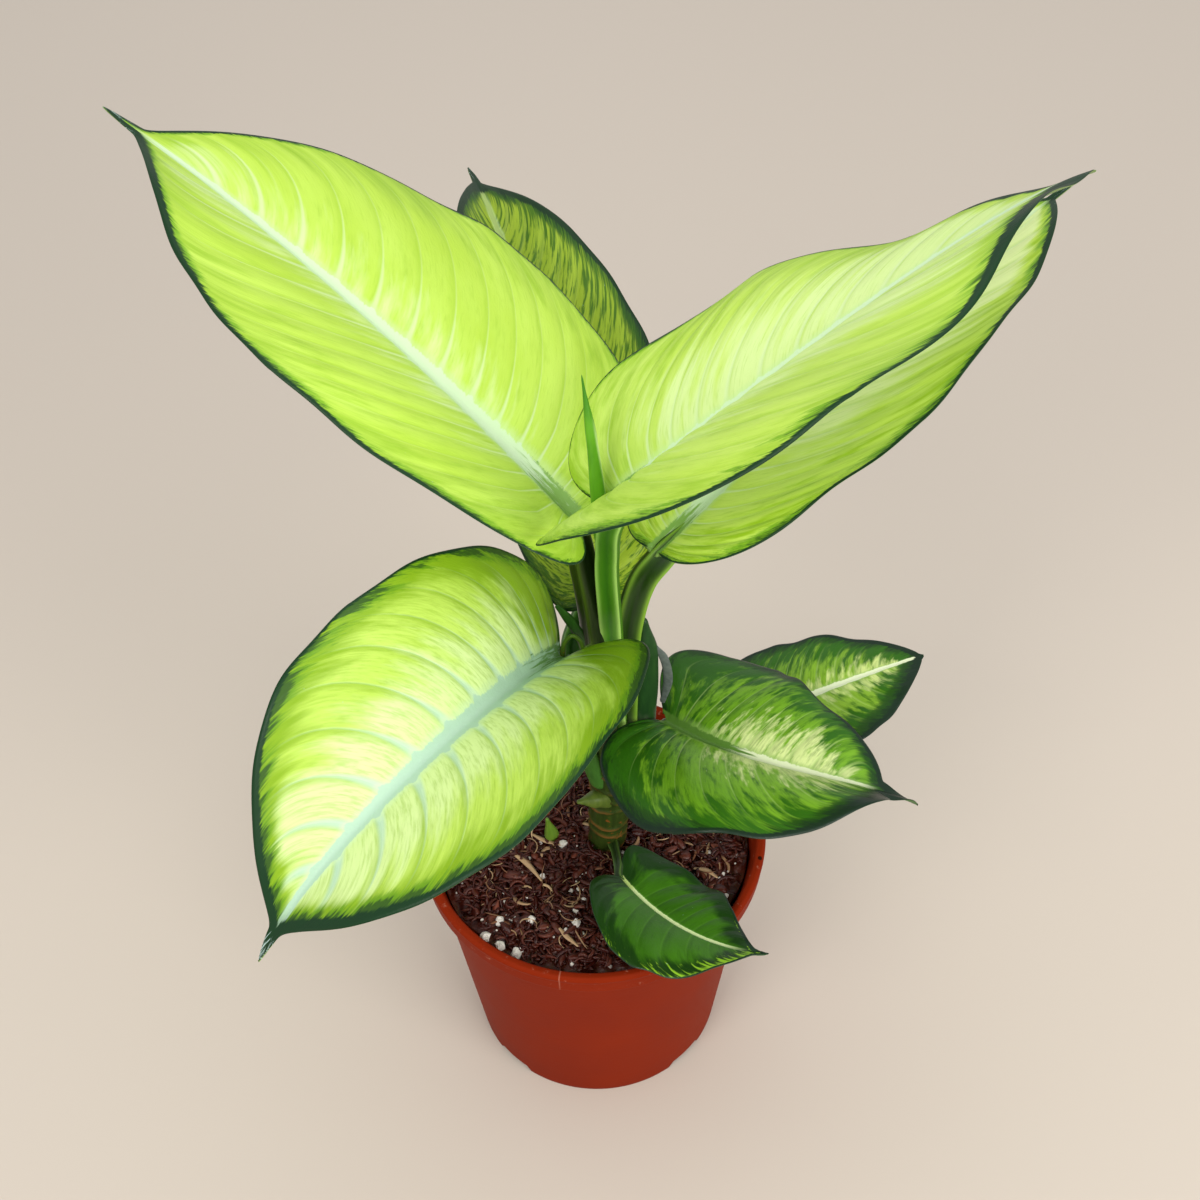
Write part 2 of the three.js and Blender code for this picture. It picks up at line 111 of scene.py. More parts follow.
def mesh_piece(name, points, faces, materials, face_material=None, attributes=None, smooth=True):
    """A mesh object at the origin from points in millimetres and a list of arrays of
    faces, each array with one number of corners. attributes gives one number per point
    under each name."""
    mesh = bpy.data.meshes.new(name)
    corners = np.concatenate([group.ravel() for group in faces]).astype(np.int32)
    sizes = np.concatenate([np.full(len(group), group.shape[1]) for group in faces])
    starts = np.concatenate([[0], np.cumsum(sizes)[:-1]]).astype(np.int32)
    mesh.vertices.add(len(points))
    mesh.vertices.foreach_set("co", (points * MM).astype(np.float32).ravel())
    mesh.loops.add(len(corners))
    mesh.loops.foreach_set("vertex_index", corners)
    mesh.polygons.add(len(sizes))
    mesh.polygons.foreach_set("loop_start", starts)
    for material in materials:
        mesh.materials.append(material)
    if face_material is not None:
        mesh.polygons.foreach_set("material_index", face_material.astype(np.int32))
    mesh.polygons.foreach_set("use_smooth", np.full(len(sizes), smooth))
    for key, values in (attributes or {}).items():
        layer = mesh.attributes.new(key, "FLOAT", "POINT")
        layer.data.foreach_set("value", values.astype(np.float32).ravel())
    mesh.update(calc_edges=True)
    mesh.validate()
    piece = bpy.data.objects.new(name, mesh)
    bpy.context.scene.collection.objects.link(piece)
    return piece


def ring_stack(rings):
    """Points and faces of a closed skin over an array of rings of points, rows by columns
    by 3, each turning anticlockwise seen from the last ring. The middle of the first and
    of the last ring close the ends."""
    rows, columns = rings.shape[:2]
    points = np.concatenate([rings.reshape(-1, 3), rings[:1].mean(1), rings[-1:].mean(1)])
    here = np.arange(columns)
    after = (here + 1) % columns
    row = np.arange(rows - 1)[:, None] * columns
    quads = np.stack([row + here, row + after, row + columns + after, row + columns + here], -1)
    pole = rows * columns
    last_row = pole - columns
    first = np.stack([after, here, np.full(columns, pole)], -1)
    last = np.stack([last_row + here, last_row + after, np.full(columns, pole + 1)], -1)
    return points, [quads.reshape(-1, 4), np.concatenate([first, last])]


def rounded(profile, corner, steps=4):
    """A profile with each inner corner replaced by a short quadratic arc that starts and
    ends at most corner millimetres from it."""
    points = [np.array(p, float) for p in profile]
    out = [points[0]]
    for before, here, after in zip(points, points[1:], points[2:]):
        reach = [min(corner, np.linalg.norm(q - here) * 0.45) for q in (before, after)]
        start = here + (before - here) / np.linalg.norm(before - here) * reach[0]
        end = here + (after - here) / np.linalg.norm(after - here) * reach[1]
        for t in np.linspace(0, 1, steps):
            out.append((1 - t) ** 2 * start + 2 * t * (1 - t) * here + t ** 2 * end)
    out.append(points[-1])
    return np.array(out)


def pot_rings(sides=288):
    """The pot's section carried round its axis. Where the angle lies inside a foot notch,
    every point lower than the notch is lifted to its roof."""
    lip_bottom = POT_HEIGHT - LIP_HEIGHT
    lean = (WALL_TOP_RADIUS - FOOT_RADIUS) / lip_bottom
    inside = [FOOT_RADIUS + lean * z - POT_WALL for z in (lip_bottom - 1, FLOOR_TOP)]
    foot_inside = FOOT_RADIUS - FOOT_RING
    profile = rounded([
        (0.5, 0), (PAD_RADIUS, 0), (PAD_RADIUS + 1, FLOOR_UNDER), (foot_inside - 1, FLOOR_UNDER),
        (foot_inside, 0), (FOOT_RADIUS, 0), (FOOT_RADIUS + lean * NOTCH_HEIGHT, NOTCH_HEIGHT),
        (WALL_TOP_RADIUS - 0.7, lip_bottom - 6), (WALL_TOP_RADIUS + 0.7, lip_bottom - 4.6),
        (WALL_TOP_RADIUS, lip_bottom - 3.2), (WALL_TOP_RADIUS, lip_bottom),
        (RIM_RADIUS - 1.6, lip_bottom), (RIM_RADIUS - 0.8, lip_bottom + 1.2),
        (RIM_RADIUS - 0.4, POT_HEIGHT - 3.4), (RIM_RADIUS, POT_HEIGHT - 2.6),
        (RIM_RADIUS, POT_HEIGHT - 1.4), (RIM_RADIUS - 1.2, POT_HEIGHT),
        (MOUTH_RADIUS + 0.8, POT_HEIGHT - 0.2), (MOUTH_RADIUS, POT_HEIGHT - 1.6),
        (inside[0], lip_bottom - 1), (inside[1], FLOOR_TOP), (0.5, FLOOR_TOP),
    ], 0.7)
    angle = np.linspace(0, 2 * np.pi, sides, endpoint=False)
    radius = profile[:, 0][:, None]
    off_notch = np.abs(angle % (np.pi / 2) - np.pi / 4) * FOOT_RADIUS
    inside_notch = np.clip((NOTCH_WIDTH / 2 - off_notch) / 0.8 + 0.5, 0, 1)
    lift = np.where(radius > foot_inside - 2, inside_notch * NOTCH_HEIGHT, 0)
    height = np.maximum(profile[:, 1][:, None], lift)
    return np.stack([radius * np.cos(angle), radius * np.sin(angle), height], -1)


def cut_drain_holes(piece):
    """Cuts round holes through the pot's floor with one Boolean, and applies it."""
    turn = np.linspace(0, 2 * np.pi, DRAIN_SIDES, endpoint=False)
    circle = DRAIN_RADIUS * np.stack([np.cos(turn), np.sin(turn)], -1)
    points, faces = [], []
    for way in np.arange(DRAIN_HOLES) * 2 * np.pi / DRAIN_HOLES:
        middle = DRAIN_RING * np.array([np.cos(way), np.sin(way)])
        rings = np.stack([np.column_stack([circle + middle, np.full(DRAIN_SIDES, z)])
                          for z in DRILL_HEIGHTS])
        hole_points, hole_faces = ring_stack(rings)
        faces += [(face + len(points)).tolist() for group in hole_faces for face in group]
        points += (hole_points * MM).tolist()
    drill = bpy.data.meshes.new("drain_drill")
    drill.from_pydata(points, [], faces)
    cutter = bpy.data.objects.new("drain_drill", drill)
    bpy.context.scene.collection.objects.link(cutter)
    modifier = piece.modifiers.new("drain_holes", "BOOLEAN")
    modifier.object = cutter
    modifier.operation = "DIFFERENCE"
    evaluated = piece.evaluated_get(bpy.context.evaluated_depsgraph_get())
    piece.data = bpy.data.meshes.new_from_object(evaluated)
    piece.modifiers.clear()
    bpy.data.objects.remove(cutter)


def pot_plastic():
    """Polypropylene: a satin orange-brown with faint flow marks from the mould. Near the
    lip it is dusty and rubbed pale, and the seam of the two mould halves shows."""
    material, add = new_material("moulded_polypropylene_terracotta")
    place = add("TexCoord", take="Object")
    x, y, z = (add("SeparateXYZ", (place,), axis) for axis in "XYZ")
    cloud = add("TexNoise", {"Vector": place, "Scale": 1 / (35.71 * MM), "Detail": 5.0})
    grain = add("TexNoise", {"Vector": place, "Scale": 1 / (1.111 * MM), "Detail": 3.0})
    drawn = add("VectorMath", (place, [1 / (size * MM) for size in FLOW_MARKS]), operation="MULTIPLY")
    flow = add("TexNoise", {"Vector": drawn, "Scale": 1.0, "Detail": 4.0})
    near_lip = add("MapRange", (z, *DUSTY_HEIGHTS), interpolation_type="SMOOTHSTEP")
    speckle = add("TexNoise", {"Vector": place, "Scale": 1 / (4.762 * MM), "Detail": 9.0, "Roughness": 0.75})
    spots = add("MapRange", {"Value": speckle, "From Min": 0.6, "From Max": 0.72, "To Max": 0.55})
    dust = add("Math", (spots, near_lip), operation="MULTIPLY")
    angle = add("Math", (y, x), operation="ARCTAN2")
    at_seam = add("Math", (angle, SEAM_ANGLE, SEAM_HALF_ANGLE), operation="COMPARE")
    seam = add("Math", (at_seam, near_lip), operation="MULTIPLY")
    faint_seam = add("Math", (seam, 0.2), operation="MULTIPLY")
    pale = add("Math", (dust, faint_seam), operation="MAXIMUM")
    off_pinhole = add("VectorMath", (place, PINHOLE_PLACE), "Value", operation="DISTANCE")
    pinhole = add("Math", (off_pinhole, PINHOLE_RADIUS), operation="LESS_THAN")
    colour = painted(add, "#701c07", (cloud, "#85280d"), (pale, "#dda48a"), (pinhole, "#2a0f08"))
    gloss = add("MapRange", {"Value": cloud, "To Min": 0.4, "To Max": 0.56})
    relief = add("Math", (grain, flow), operation="ADD")
    raised = add("Math", (seam, 0.5, relief), operation="MULTIPLY_ADD")
    bump = add("Bump", {"Height": raised, "Strength": 0.12, "Distance": 0.4 * MM})
    skin = add("BsdfPrincipled", {
        "Base Color": colour, "Roughness": gloss, "Normal": bump, "Specular IOR Level": 0.02})
    add("OutputMaterial", {"Surface": skin})
    return material


points, faces = ring_stack(pot_rings())
pot = mesh_piece("nursery_pot", points, faces, [pot_plastic()])
cut_drain_holes(pot)
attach(pot, "root")
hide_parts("pot")

# ------------------------------------------------------------------ the potting mix
# Damp composted bark and coir, torn into curled shreds, with white grains of perlite,
# poured in loose and settled a few millimetres below the lip. Wet shreds shine a little;
# perlite is a popped glass foam, matt and chalky.

MIX_EDGE_HEIGHT = 119.5
MIX_CROWN = 3.0
MIX_RADIUS = 67.6
# Shares of the edge's radius, with the depth under the edge and the gap over the pot's floor
MIX_SHOULDER = (0.97, 12.0)
MIX_FOOT = (0.79, 0.4)
CANE_AT_MIX = (6.0, 0.0)
CANE_CLEARANCE = 10.0
# Three points along each long shred, and the place and radius of each large grain
LONG_SHREDS = [[(-36, -8), (-29, -14), (-22, -23)], [(-27, 3), (-21, -1), (-13, -4)],
               [(43, -17), (48, -19), (53, -24)], [(-15, -47), (-12, -50), (-7, -55)]]
LARGE_GRAINS = [(-46, -49, 2.6), (-40, -53, 2.3), (-33, -56, 2.6), (-40, -42, 2.2),
                (-27, -41, 2.1), (-8, -45, 2.0), (-8, -37, 1.7), (-13, -3, 2.4),
                (-22, -20, 1.5), (26, 12, 1.8), (34, 3, 1.6)]
seeds = np.random.default_rng(11)


def smooth_noise(x, y, cell, seed):
    """Random numbers on a square lattice, blended between its corners with a smooth step."""
    table = np.random.default_rng(seed).random((64, 64))
    i, j = x / cell, y / cell
    i0, j0 = np.floor(i).astype(int), np.floor(j).astype(int)
    a, b = (s * s * (3 - 2 * s) for s in (i - i0, j - j0))
    corner = [table[(i0 + p) % 64, (j0 + q) % 64] for p, q in ((0, 0), (1, 0), (0, 1), (1, 1))]
    near, far = (corner[k] * (1 - a) + corner[k + 1] * a for k in (0, 2))
    return near * (1 - b) + far * b


def mix_height(x, y):
    """A low dome with crumbs of three sizes on it."""
    dome = MIX_CROWN * (1 - (x * x + y * y) / MOUTH_RADIUS ** 2)
    crumbs = sum(depth * (smooth_noise(x, y, cell, seed) - 0.5)
                 for depth, cell, seed in ((4.2, 11.0, 1), (3.0, 4.2, 2), (1.6, 1.7, 3)))
    return MIX_EDGE_HEIGHT + dome + crumbs


def bark_material(name, dark, light, dry, roughness):
    """Damp bark: a dark red-brown with lighter fibres. The attribute tone, one number per
    shred, is how far that shred has dried to the pale colour."""
    material, add = new_material(name)
    place = add("TexCoord", take="Object")
    tone = add("Attribute", take="Fac", attribute_name="tone")
    fibre = add("TexNoise", {"Vector": place, "Scale": 1 / (1.4286 * MM), "Detail": 6.0, "Roughness": 0.65})
    colour = painted(add, dark, (fibre, light), (tone, dry))
    bump = add("Bump", {"Height": fibre, "Strength": 0.6, "Distance": 0.5 * MM})
    skin = add("BsdfPrincipled", {
        "Base Color": colour, "Roughness": roughness, "Normal": bump, "Specular IOR Level": 0.3})
    add("OutputMaterial", {"Surface": skin})
    return material


def scattered(shapes, faces, turns, places):
    """Each shape of an array is turned by its own matrix and moved to its own place."""
    points = np.einsum("nij,nkj->nki", turns, shapes) + places[:, None, :]
    offset = (np.arange(len(places)) * shapes.shape[1])[:, None, None]
    copied = [(group[None] + offset).reshape(-1, group.shape[1]) for group in faces]
    return points.reshape(-1, 3), copied


def random_turns(count, tilt):
    """Matrices that turn a shape anyhow about upright and tip it by up to tilt radians."""
    spin, lean, way = seeds.random((3, count)) * np.array([2 * np.pi, tilt, 2 * np.pi])[:, None]
    zero, one = np.zeros(count), np.ones(count)

    def about_z(a):
        return np.stack([np.cos(a), -np.sin(a), zero, np.sin(a), np.cos(a), zero, zero, zero, one], -1)

    tip = np.stack([one, zero, zero,
                    zero, np.cos(lean), -np.sin(lean),
                    zero, np.sin(lean), np.cos(lean)], -1)
    spins, ways, tips = (m.reshape(-1, 3, 3) for m in (about_z(spin), about_z(way), tip))
    return ways @ tips @ spins


def mix_places(count, low, high, clear_of_wall):
    """Points spread evenly over the mix, clear of the cane and the wall, between two
    heights over it."""
    radius = (MIX_RADIUS - clear_of_wall) * np.sqrt(seeds.random(count * 2))
    angle = 2 * np.pi * seeds.random(count * 2)
    x, y = radius * np.cos(angle), radius * np.sin(angle)
    clear = np.hypot(x - CANE_AT_MIX[0], y - CANE_AT_MIX[1]) > CANE_CLEARANCE
    x, y = x[clear][:count], y[clear][:count]
    return np.stack([x, y, mix_height(x, y) + low + (high - low) * seeds.random(len(x))], -1)


def shred_shapes(count, length, width, flat, curl):
    """Strips along an arc that rises in its middle, with a four-sided section that thins
    towards both ends. Each has its own length, half width and curl, drawn between the
    pairs given; flat is its thickness over its width."""
    steps, corners = 9, 4
    size = seeds.uniform(*length, (count, 1))
    sweep = seeds.uniform(*curl, (count, 1))
    s = np.linspace(0, 1, steps)[None, :]
    bow = size / sweep
    rise = size * seeds.uniform(-0.05, 0.16, (count, 1)) * np.sin(np.pi * s)
    centre = np.stack([bow * np.sin(sweep * s) - bow * np.sin(sweep / 2),
                       bow * (np.cos(sweep / 2) - np.cos(sweep * s)), rise], -1)
    out = np.stack([-np.sin(sweep * s), np.cos(sweep * s), 0 * s * sweep], -1)
    turn = np.linspace(0, 2 * np.pi, corners, endpoint=False) + seeds.uniform(0, 2 * np.pi, (count, 1, 1))
    wide = seeds.uniform(*width, (count, 1, 1)) * (0.3 + 0.7 * np.sqrt(np.sin(np.pi * s)))[..., None]
    rings = centre[:, :, None, :] + out[:, :, None, :] * (wide * np.cos(turn))[..., None]
    rings = rings + np.array([0, 0, 1.0]) * (wide * flat * np.sin(turn))[..., None]
    ends = rings[:, [0, -1]].mean(2)
    faces = ring_stack(rings[0])[1]
    return np.concatenate([rings.reshape(count, -1, 3), ends], 1), faces


wet_bark = bark_material("damp_composted_bark", "#120302", "#48150b", "#7c4030", 0.26)
coir = bark_material("coir_fibres", "#4a2414", "#8a5a3a", "#d2b288", 0.55)

ring_count, mix_sides = 110, 300
share = np.linspace(1, 0.01, ring_count)[:, None]
around = np.linspace(0, 2 * np.pi, mix_sides, endpoint=False)[None, :]
bed_x, bed_y = (MIX_RADIUS * share * f(around) for f in (np.cos, np.sin))
top = np.stack([bed_x, bed_y, mix_height(bed_x, bed_y)], -1)
lower = [np.column_stack([top[0, :, :2] * shrink, np.full(mix_sides, z)]) for shrink, z in (
    (MIX_FOOT[0], FLOOR_TOP + MIX_FOOT[1]), (MIX_SHOULDER[0], MIX_EDGE_HEIGHT - MIX_SHOULDER[1]))]
bed_points, bed_faces = ring_stack(np.concatenate([lower, top]))
bed = mesh_piece("mix_bed", bed_points, bed_faces, [wet_bark],
                 attributes={"tone": 0.35 * smooth_noise(bed_points[:, 0], bed_points[:, 1], 3.0, 5)})
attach(bed, "root")
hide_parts("potting_mix")

for name, skin, number, length, width, flat, curl, low, high, clear, dried in (
        ("bark_shreds", wet_bark, 2500, (4, 11), (0.5, 1.3), 0.35, (0.4, 3.4), -0.4, 2.6, 4.5, 0.35),
        ("bark_crumbs", wet_bark, 1500, (2, 4.5), (0.5, 1.1), 0.6, (0.2, 1.5), 0.0, 1.8, 1.8, 0.3),
        ("bark_chips", wet_bark, 240, (5, 10), (1.6, 3.0), 0.25, (0.1, 0.9), 0.2, 2.0, 6, 0.9),
        ("coir_flakes", coir, 80, (5, 13), (0.5, 1.2), 0.2, (0.3, 2.4), 0.6, 3.0, 8, 0.9),
        ("coir_strands", coir, 240, (5, 13), (0.16, 0.34), 1.0, (0.6, 3.4), 0.4, 3.2, 8, 1.0)):
    places = mix_places(number, low, high, clear)
    shapes, shape_faces = shred_shapes(len(places), length, width, flat, curl)
    shred_points, shred_faces = scattered(shapes, shape_faces, random_turns(len(places), 0.7), places)
    tones = seeds.random(len(places)) ** 2.5 * dried
    shreds = mesh_piece(name, shred_points, shred_faces, [skin],
                        attributes={"tone": np.repeat(tones, shapes.shape[1])})
    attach(shreds, "root")


def curve_through(path, s):
    """Points and unit tangents at the shares s of a centripetal Catmull-Rom curve."""
    knots = np.array(path, float)
    knots = np.vstack([2 * knots[0] - knots[1], knots, 2 * knots[-1] - knots[-2]])
    place = np.clip(s, 0, 1) * (len(path) - 1)
    i = np.minimum(place.astype(int), len(path) - 2)
    p = [knots[i + k] for k in range(4)]
    gap = [np.linalg.norm(p[k + 1] - p[k], axis=1, keepdims=True) ** 0.5 for k in range(3)]
    t = [np.zeros_like(gap[0])]
    for step in gap:
        t.append(t[-1] + step)

    def at(local):
        a = [((t[k + 1] - local) * p[k] + (local - t[k]) * p[k + 1]) / gap[k] for k in range(3)]
        b = [((t[k + 2] - local) * a[k] + (local - t[k]) * a[k + 1]) / (t[k + 2] - t[k]) for k in range(2)]
        return ((t[2] - local) * b[0] + (local - t[1]) * b[1]) / (t[2] - t[1])

    local = t[1] + (place - i)[:, None] * (t[2] - t[1])
    small = 1e-3 * (t[2] - t[1])
    tangent = at(local + small) - at(local - small)
    return at(local), tangent / np.linalg.norm(tangent, axis=1, keepdims=True)


def spread(sizes, s):
    """A list of sizes spread evenly along a path, blended with a smooth step."""
    place = np.clip(s, 0, 1) * (len(sizes) - 1)
    i = np.minimum(place.astype(int), len(sizes) - 2)
    f = place - i
    f = f * f * (3 - 2 * f)
    sizes = np.array(sizes, float)
    return sizes[i] * (1 - f) + sizes[i + 1] * f


def rod_rings(path, radii, inner, shape, rows, columns):
    """A rod along a curve: at each row a ring whose radius is the local size times
    shape(angle, share), with angle 0 towards inner. The ends are rounded off. Also returns
    the angle and the share of every point, for colours."""
    s = np.linspace(0, 1, rows)
    centre, tangent = curve_through(path, s)
    front = inner - tangent * (tangent @ inner)[:, None]
    front /= np.linalg.norm(front, axis=1, keepdims=True)
    side = np.cross(tangent, front)
    angle, share = np.meshgrid(np.linspace(0, 2 * np.pi, columns, endpoint=False), s)
    rounding = np.minimum(np.minimum(s, 1 - s) / 0.02, 1) ** 0.5
    radius = (spread(radii, s) * np.maximum(rounding, 0.05))[:, None] * shape(angle, share)
    rings = (centre[:, None, :] + front[:, None, :] * (radius * np.cos(angle))[..., None]
             + side[:, None, :] * (radius * np.sin(angle))[..., None])
    return rings, angle, share


def thin_shape(angle, s):
    """A flat strip, six times as wide as it is thick, lying across the inner direction."""
    return 1 / np.hypot(6 * np.cos(angle), np.sin(angle))


for number, path in enumerate(LONG_SHREDS):
    lying = [(x, y, mix_height(np.array(x), np.array(y)) + 3.0) for x, y in path]
    rings, angle, share = rod_rings(lying, (0.7, 1.5, 0.6), np.array([0, 0.3, 1.0]), thin_shape, 40, 12)
    strip_points, strip_faces = ring_stack(rings)
    strip = mesh_piece(f"coir_strip_{number}", strip_points, strip_faces, [coir],
                       attributes={"tone": np.full(len(strip_points), 0.6)})
    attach(strip, "root")


def perlite_material():
    """Expanded perlite: a chalky off-white with pores, a little soiled."""
    material, add = new_material("expanded_perlite")
    place = add("TexCoord", take="Object")
    pores = add("TexNoise", {"Vector": place, "Scale": 1 / (0.6667 * MM), "Detail": 4.0})
    colour = painted(add, "#a2948a", (pores, "#f2efe8"))
    bump = add("Bump", {"Height": pores, "Strength": 0.5, "Distance": 0.4 * MM})
    skin = add("BsdfPrincipled", {"Base Color": colour, "Roughness": 0.9, "Normal": bump})
    add("OutputMaterial", {"Surface": skin})
    return material


climb = np.linspace(-np.pi / 2 + 0.25, np.pi / 2 - 0.25, 6)[:, None]
turn = np.linspace(0, 2 * np.pi, 8, endpoint=False)[None, :]
ball_points, ball_faces = ring_stack(np.stack([
    np.cos(climb) * np.cos(turn), np.cos(climb) * np.sin(turn), np.sin(climb) + 0 * turn], -1))
small = mix_places(330, 0.2, 2.0, 3)
large = np.array(LARGE_GRAINS)
large_places = np.column_stack([large[:, :2], mix_height(large[:, 0], large[:, 1]) + 2.0])
grain_places = np.concatenate([small, large_places])
grain_size = np.concatenate([0.35 + 1.0 * seeds.random(len(small)) ** 2, large[:, 2]])
knobbly = seeds.uniform(0.7, 1.15, (len(grain_size), len(ball_points), 1))
lumps = ball_points * grain_size[:, None, None] * knobbly
turns = random_turns(len(grain_size), 1.5)
grain_points, grain_faces = scattered(lumps, ball_faces, turns, grain_places)
perlite = mesh_piece("perlite_grains", grain_points, grain_faces, [perlite_material()], smooth=False)
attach(perlite, "root")

# ------------------------------------------------------------------ the cane, the bud and old growth
# The plant's stem: a green cane ringed by the scars of fallen leaves, waxy, with corky
# orange-brown marks. One cut leaf stalk is left on it, an old sheath wraps its right side,
# and a bud grows from the mix beside it.

CANE_PATH = [(5, 1, 62), (6, 0, 118), (8, 0, 150), (11, 0, 178), (12, 0, 192)]
CANE_RADII = (7.6, 7.8, 8.6, 10.6, 8.4)
SCAR_SPACING = 9.5
CUT_STALK = ([(8, -3, 158), (2, -9, 164), (-6, -12, 166)], (5, 3.8, 0.9))
OLD_SHEATH = ([(13, 1, 150), (19, 3, 178), (22, 5, 214), (23.5, 6, 240), (22.5, 6, 261)],
              (5.5, 6.5, 5.8, 4.6, 1.6))
PAPERY_EDGE = ([(29.9, 5, 209.4), (32.2, 5, 224.7), (30.6, 5, 237.3), (27, 5, 246)],
               (1.2, 2.0, 1.8, 0.6))
BUD = ([(-18, 3, 100), (-18, 2, 122), (-19.5, 0, 138)], (3, 3.2, 0.8))
OUTWARD = np.array([1.0, 0.3, 0.0])
TO_FRONT = np.array([-0.2, -0.66, 0.75])


def stem_skin(name, body, dark, mark, marks=0.5, ridge=None, roughness=0.4, streak=11.11):
    """Stem epidermis: waxy, with corky marks on a share of it, and streaked lengthwise.
    streak is a streak's length in millimetres, six times its width. The attribute crest
    paints the ridge colour: the cane's scar rings, the spear's pale edge, and on a leaf stalk a
    painted highlight along the raised sheath edges. The attribute groove paints the dark colour:
    the spear's dark thread, and on a leaf stalk painted shade down the groove."""
    material, add = new_material(name)
    place = add("TexCoord", take="Object")
    along = 1 / (streak * MM)
    drawn = add("VectorMath", (place, (6 * along, 6 * along, along)), operation="MULTIPLY")
    streaks = add("TexNoise", {"Vector": drawn, "Scale": 1.0, "Detail": 4.0})
    spots = add("TexNoise", {"Vector": place, "Scale": 1 / (4.348 * MM), "Detail": 4.0, "Roughness": 0.6})
    corky_from = 0.78 - 0.3 * marks
    corky = add("MapRange", (spots, corky_from, corky_from + 0.08), interpolation_type="SMOOTHSTEP")
    crest, groove = (add("Attribute", take="Fac", attribute_name=key) for key in ("crest", "groove"))
    # On a leaf stalk the crest coat is a painted highlight on the sheath edges, and the groove coat is
    # painted shade in the groove.
    colour = painted(add, dark, (streaks, body), (corky, mark), (crest, ridge or body), (groove, dark))
    bump = add("Bump", {"Height": streaks, "Strength": 0.25, "Distance": 0.5 * MM})
    skin = add("BsdfPrincipled", {
        "Base Color": colour, "Roughness": roughness, "Normal": bump, "Specular IOR Level": 0.25})
    add("OutputMaterial", {"Surface": skin})
    return material


def cane_shape(angle, s):
    """Raised leaf scars, one each SCAR_SPACING, each dipping on another side than the last."""
    rise = s * (CANE_PATH[-1][2] - CANE_PATH[0][2])
    lean = 2.2 * np.cos(angle + np.round(rise / SCAR_SPACING) * 2.4)
    scar = np.maximum(0, np.cos(2 * np.pi * (rise + lean) / SCAR_SPACING)) ** 8
    return 1 + 0.10 * scar + 0.03 * np.sin(2 * angle + rise / 9)


def plain_shape(angle, s):
    """Nearly round, with three low ribs that wind a little."""
    return 1 + 0.05 * np.sin(3 * angle + 4 * s)


def papery_skin():
    """The dried margin of a sheath: grey-brown tissue as thin as onion skin, half clear."""
    material, add = new_material("dried_sheath_membrane")
    place = add("TexCoord", take="Object")
    fibre = add("TexNoise", {"Vector": place, "Scale": 1 / (2.381 * MM), "Detail": 4.0})
    colour = painted(add, "#56625e", (fibre, "#a3aba6"))
    dull = add("BsdfPrincipled", {"Base Color": colour, "Roughness": 0.5})
    lit = add("BsdfTranslucent", {"Color": colour})
    add("OutputMaterial", {"Surface": add("MixShader", (0.5, dull, lit))})
    return material


cane_skin = stem_skin("cane_epidermis", "#3d4f18", "#1a260b", "#8a4a1c", 0.55, "#7a5226")
stub_skin = stem_skin("cut_stalk_epidermis", "#6c7c30", "#38501a", "#9a7a44", 0.4)
sheath_skin = stem_skin("old_sheath_epidermis", "#28501f", "#143018", "#3f5f2c", 0.2)
bud_skin = stem_skin("bud_epidermis", "#7d9a34", "#45701c", "#a8703a", 0.3)
for name, path, radii, shape, skin in (
        ("cane_stem", CANE_PATH, CANE_RADII, cane_shape, cane_skin),
        ("cut_stalk", *CUT_STALK, plain_shape, stub_skin),
        ("old_sheath", *OLD_SHEATH, plain_shape, sheath_skin),
        ("papery_edge", *PAPERY_EDGE, thin_shape, papery_skin()),
        ("bud_shoot", *BUD, plain_shape, bud_skin)):
    inner = TO_FRONT if name == "papery_edge" else OUTWARD
    rings, angle, share = rod_rings(path, radii, inner, shape, 120, 48)
    stem_points, stem_faces = ring_stack(rings)
    scar = np.append(np.clip((shape(angle, share).ravel() - 1.04) * 14, 0, 1), [0, 0])
    stem = mesh_piece(name, stem_points, stem_faces, [skin],
                      attributes={"crest": scar * (name == "cane_stem")})
    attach(stem, "root")
    if name == "cane_stem":
        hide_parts("cane")
    if name == "bud_shoot":
        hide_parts("bud")

# ------------------------------------------------------------------ the leaves
# Each is one organ: a grooved stalk with raised sheath edges, and a thin waxy blade with a
# thick midrib and side veins that leave it squarely and bend towards the tip. The blade
# lacks green between its veins, so it is chartreuse, with full green left at the margin.

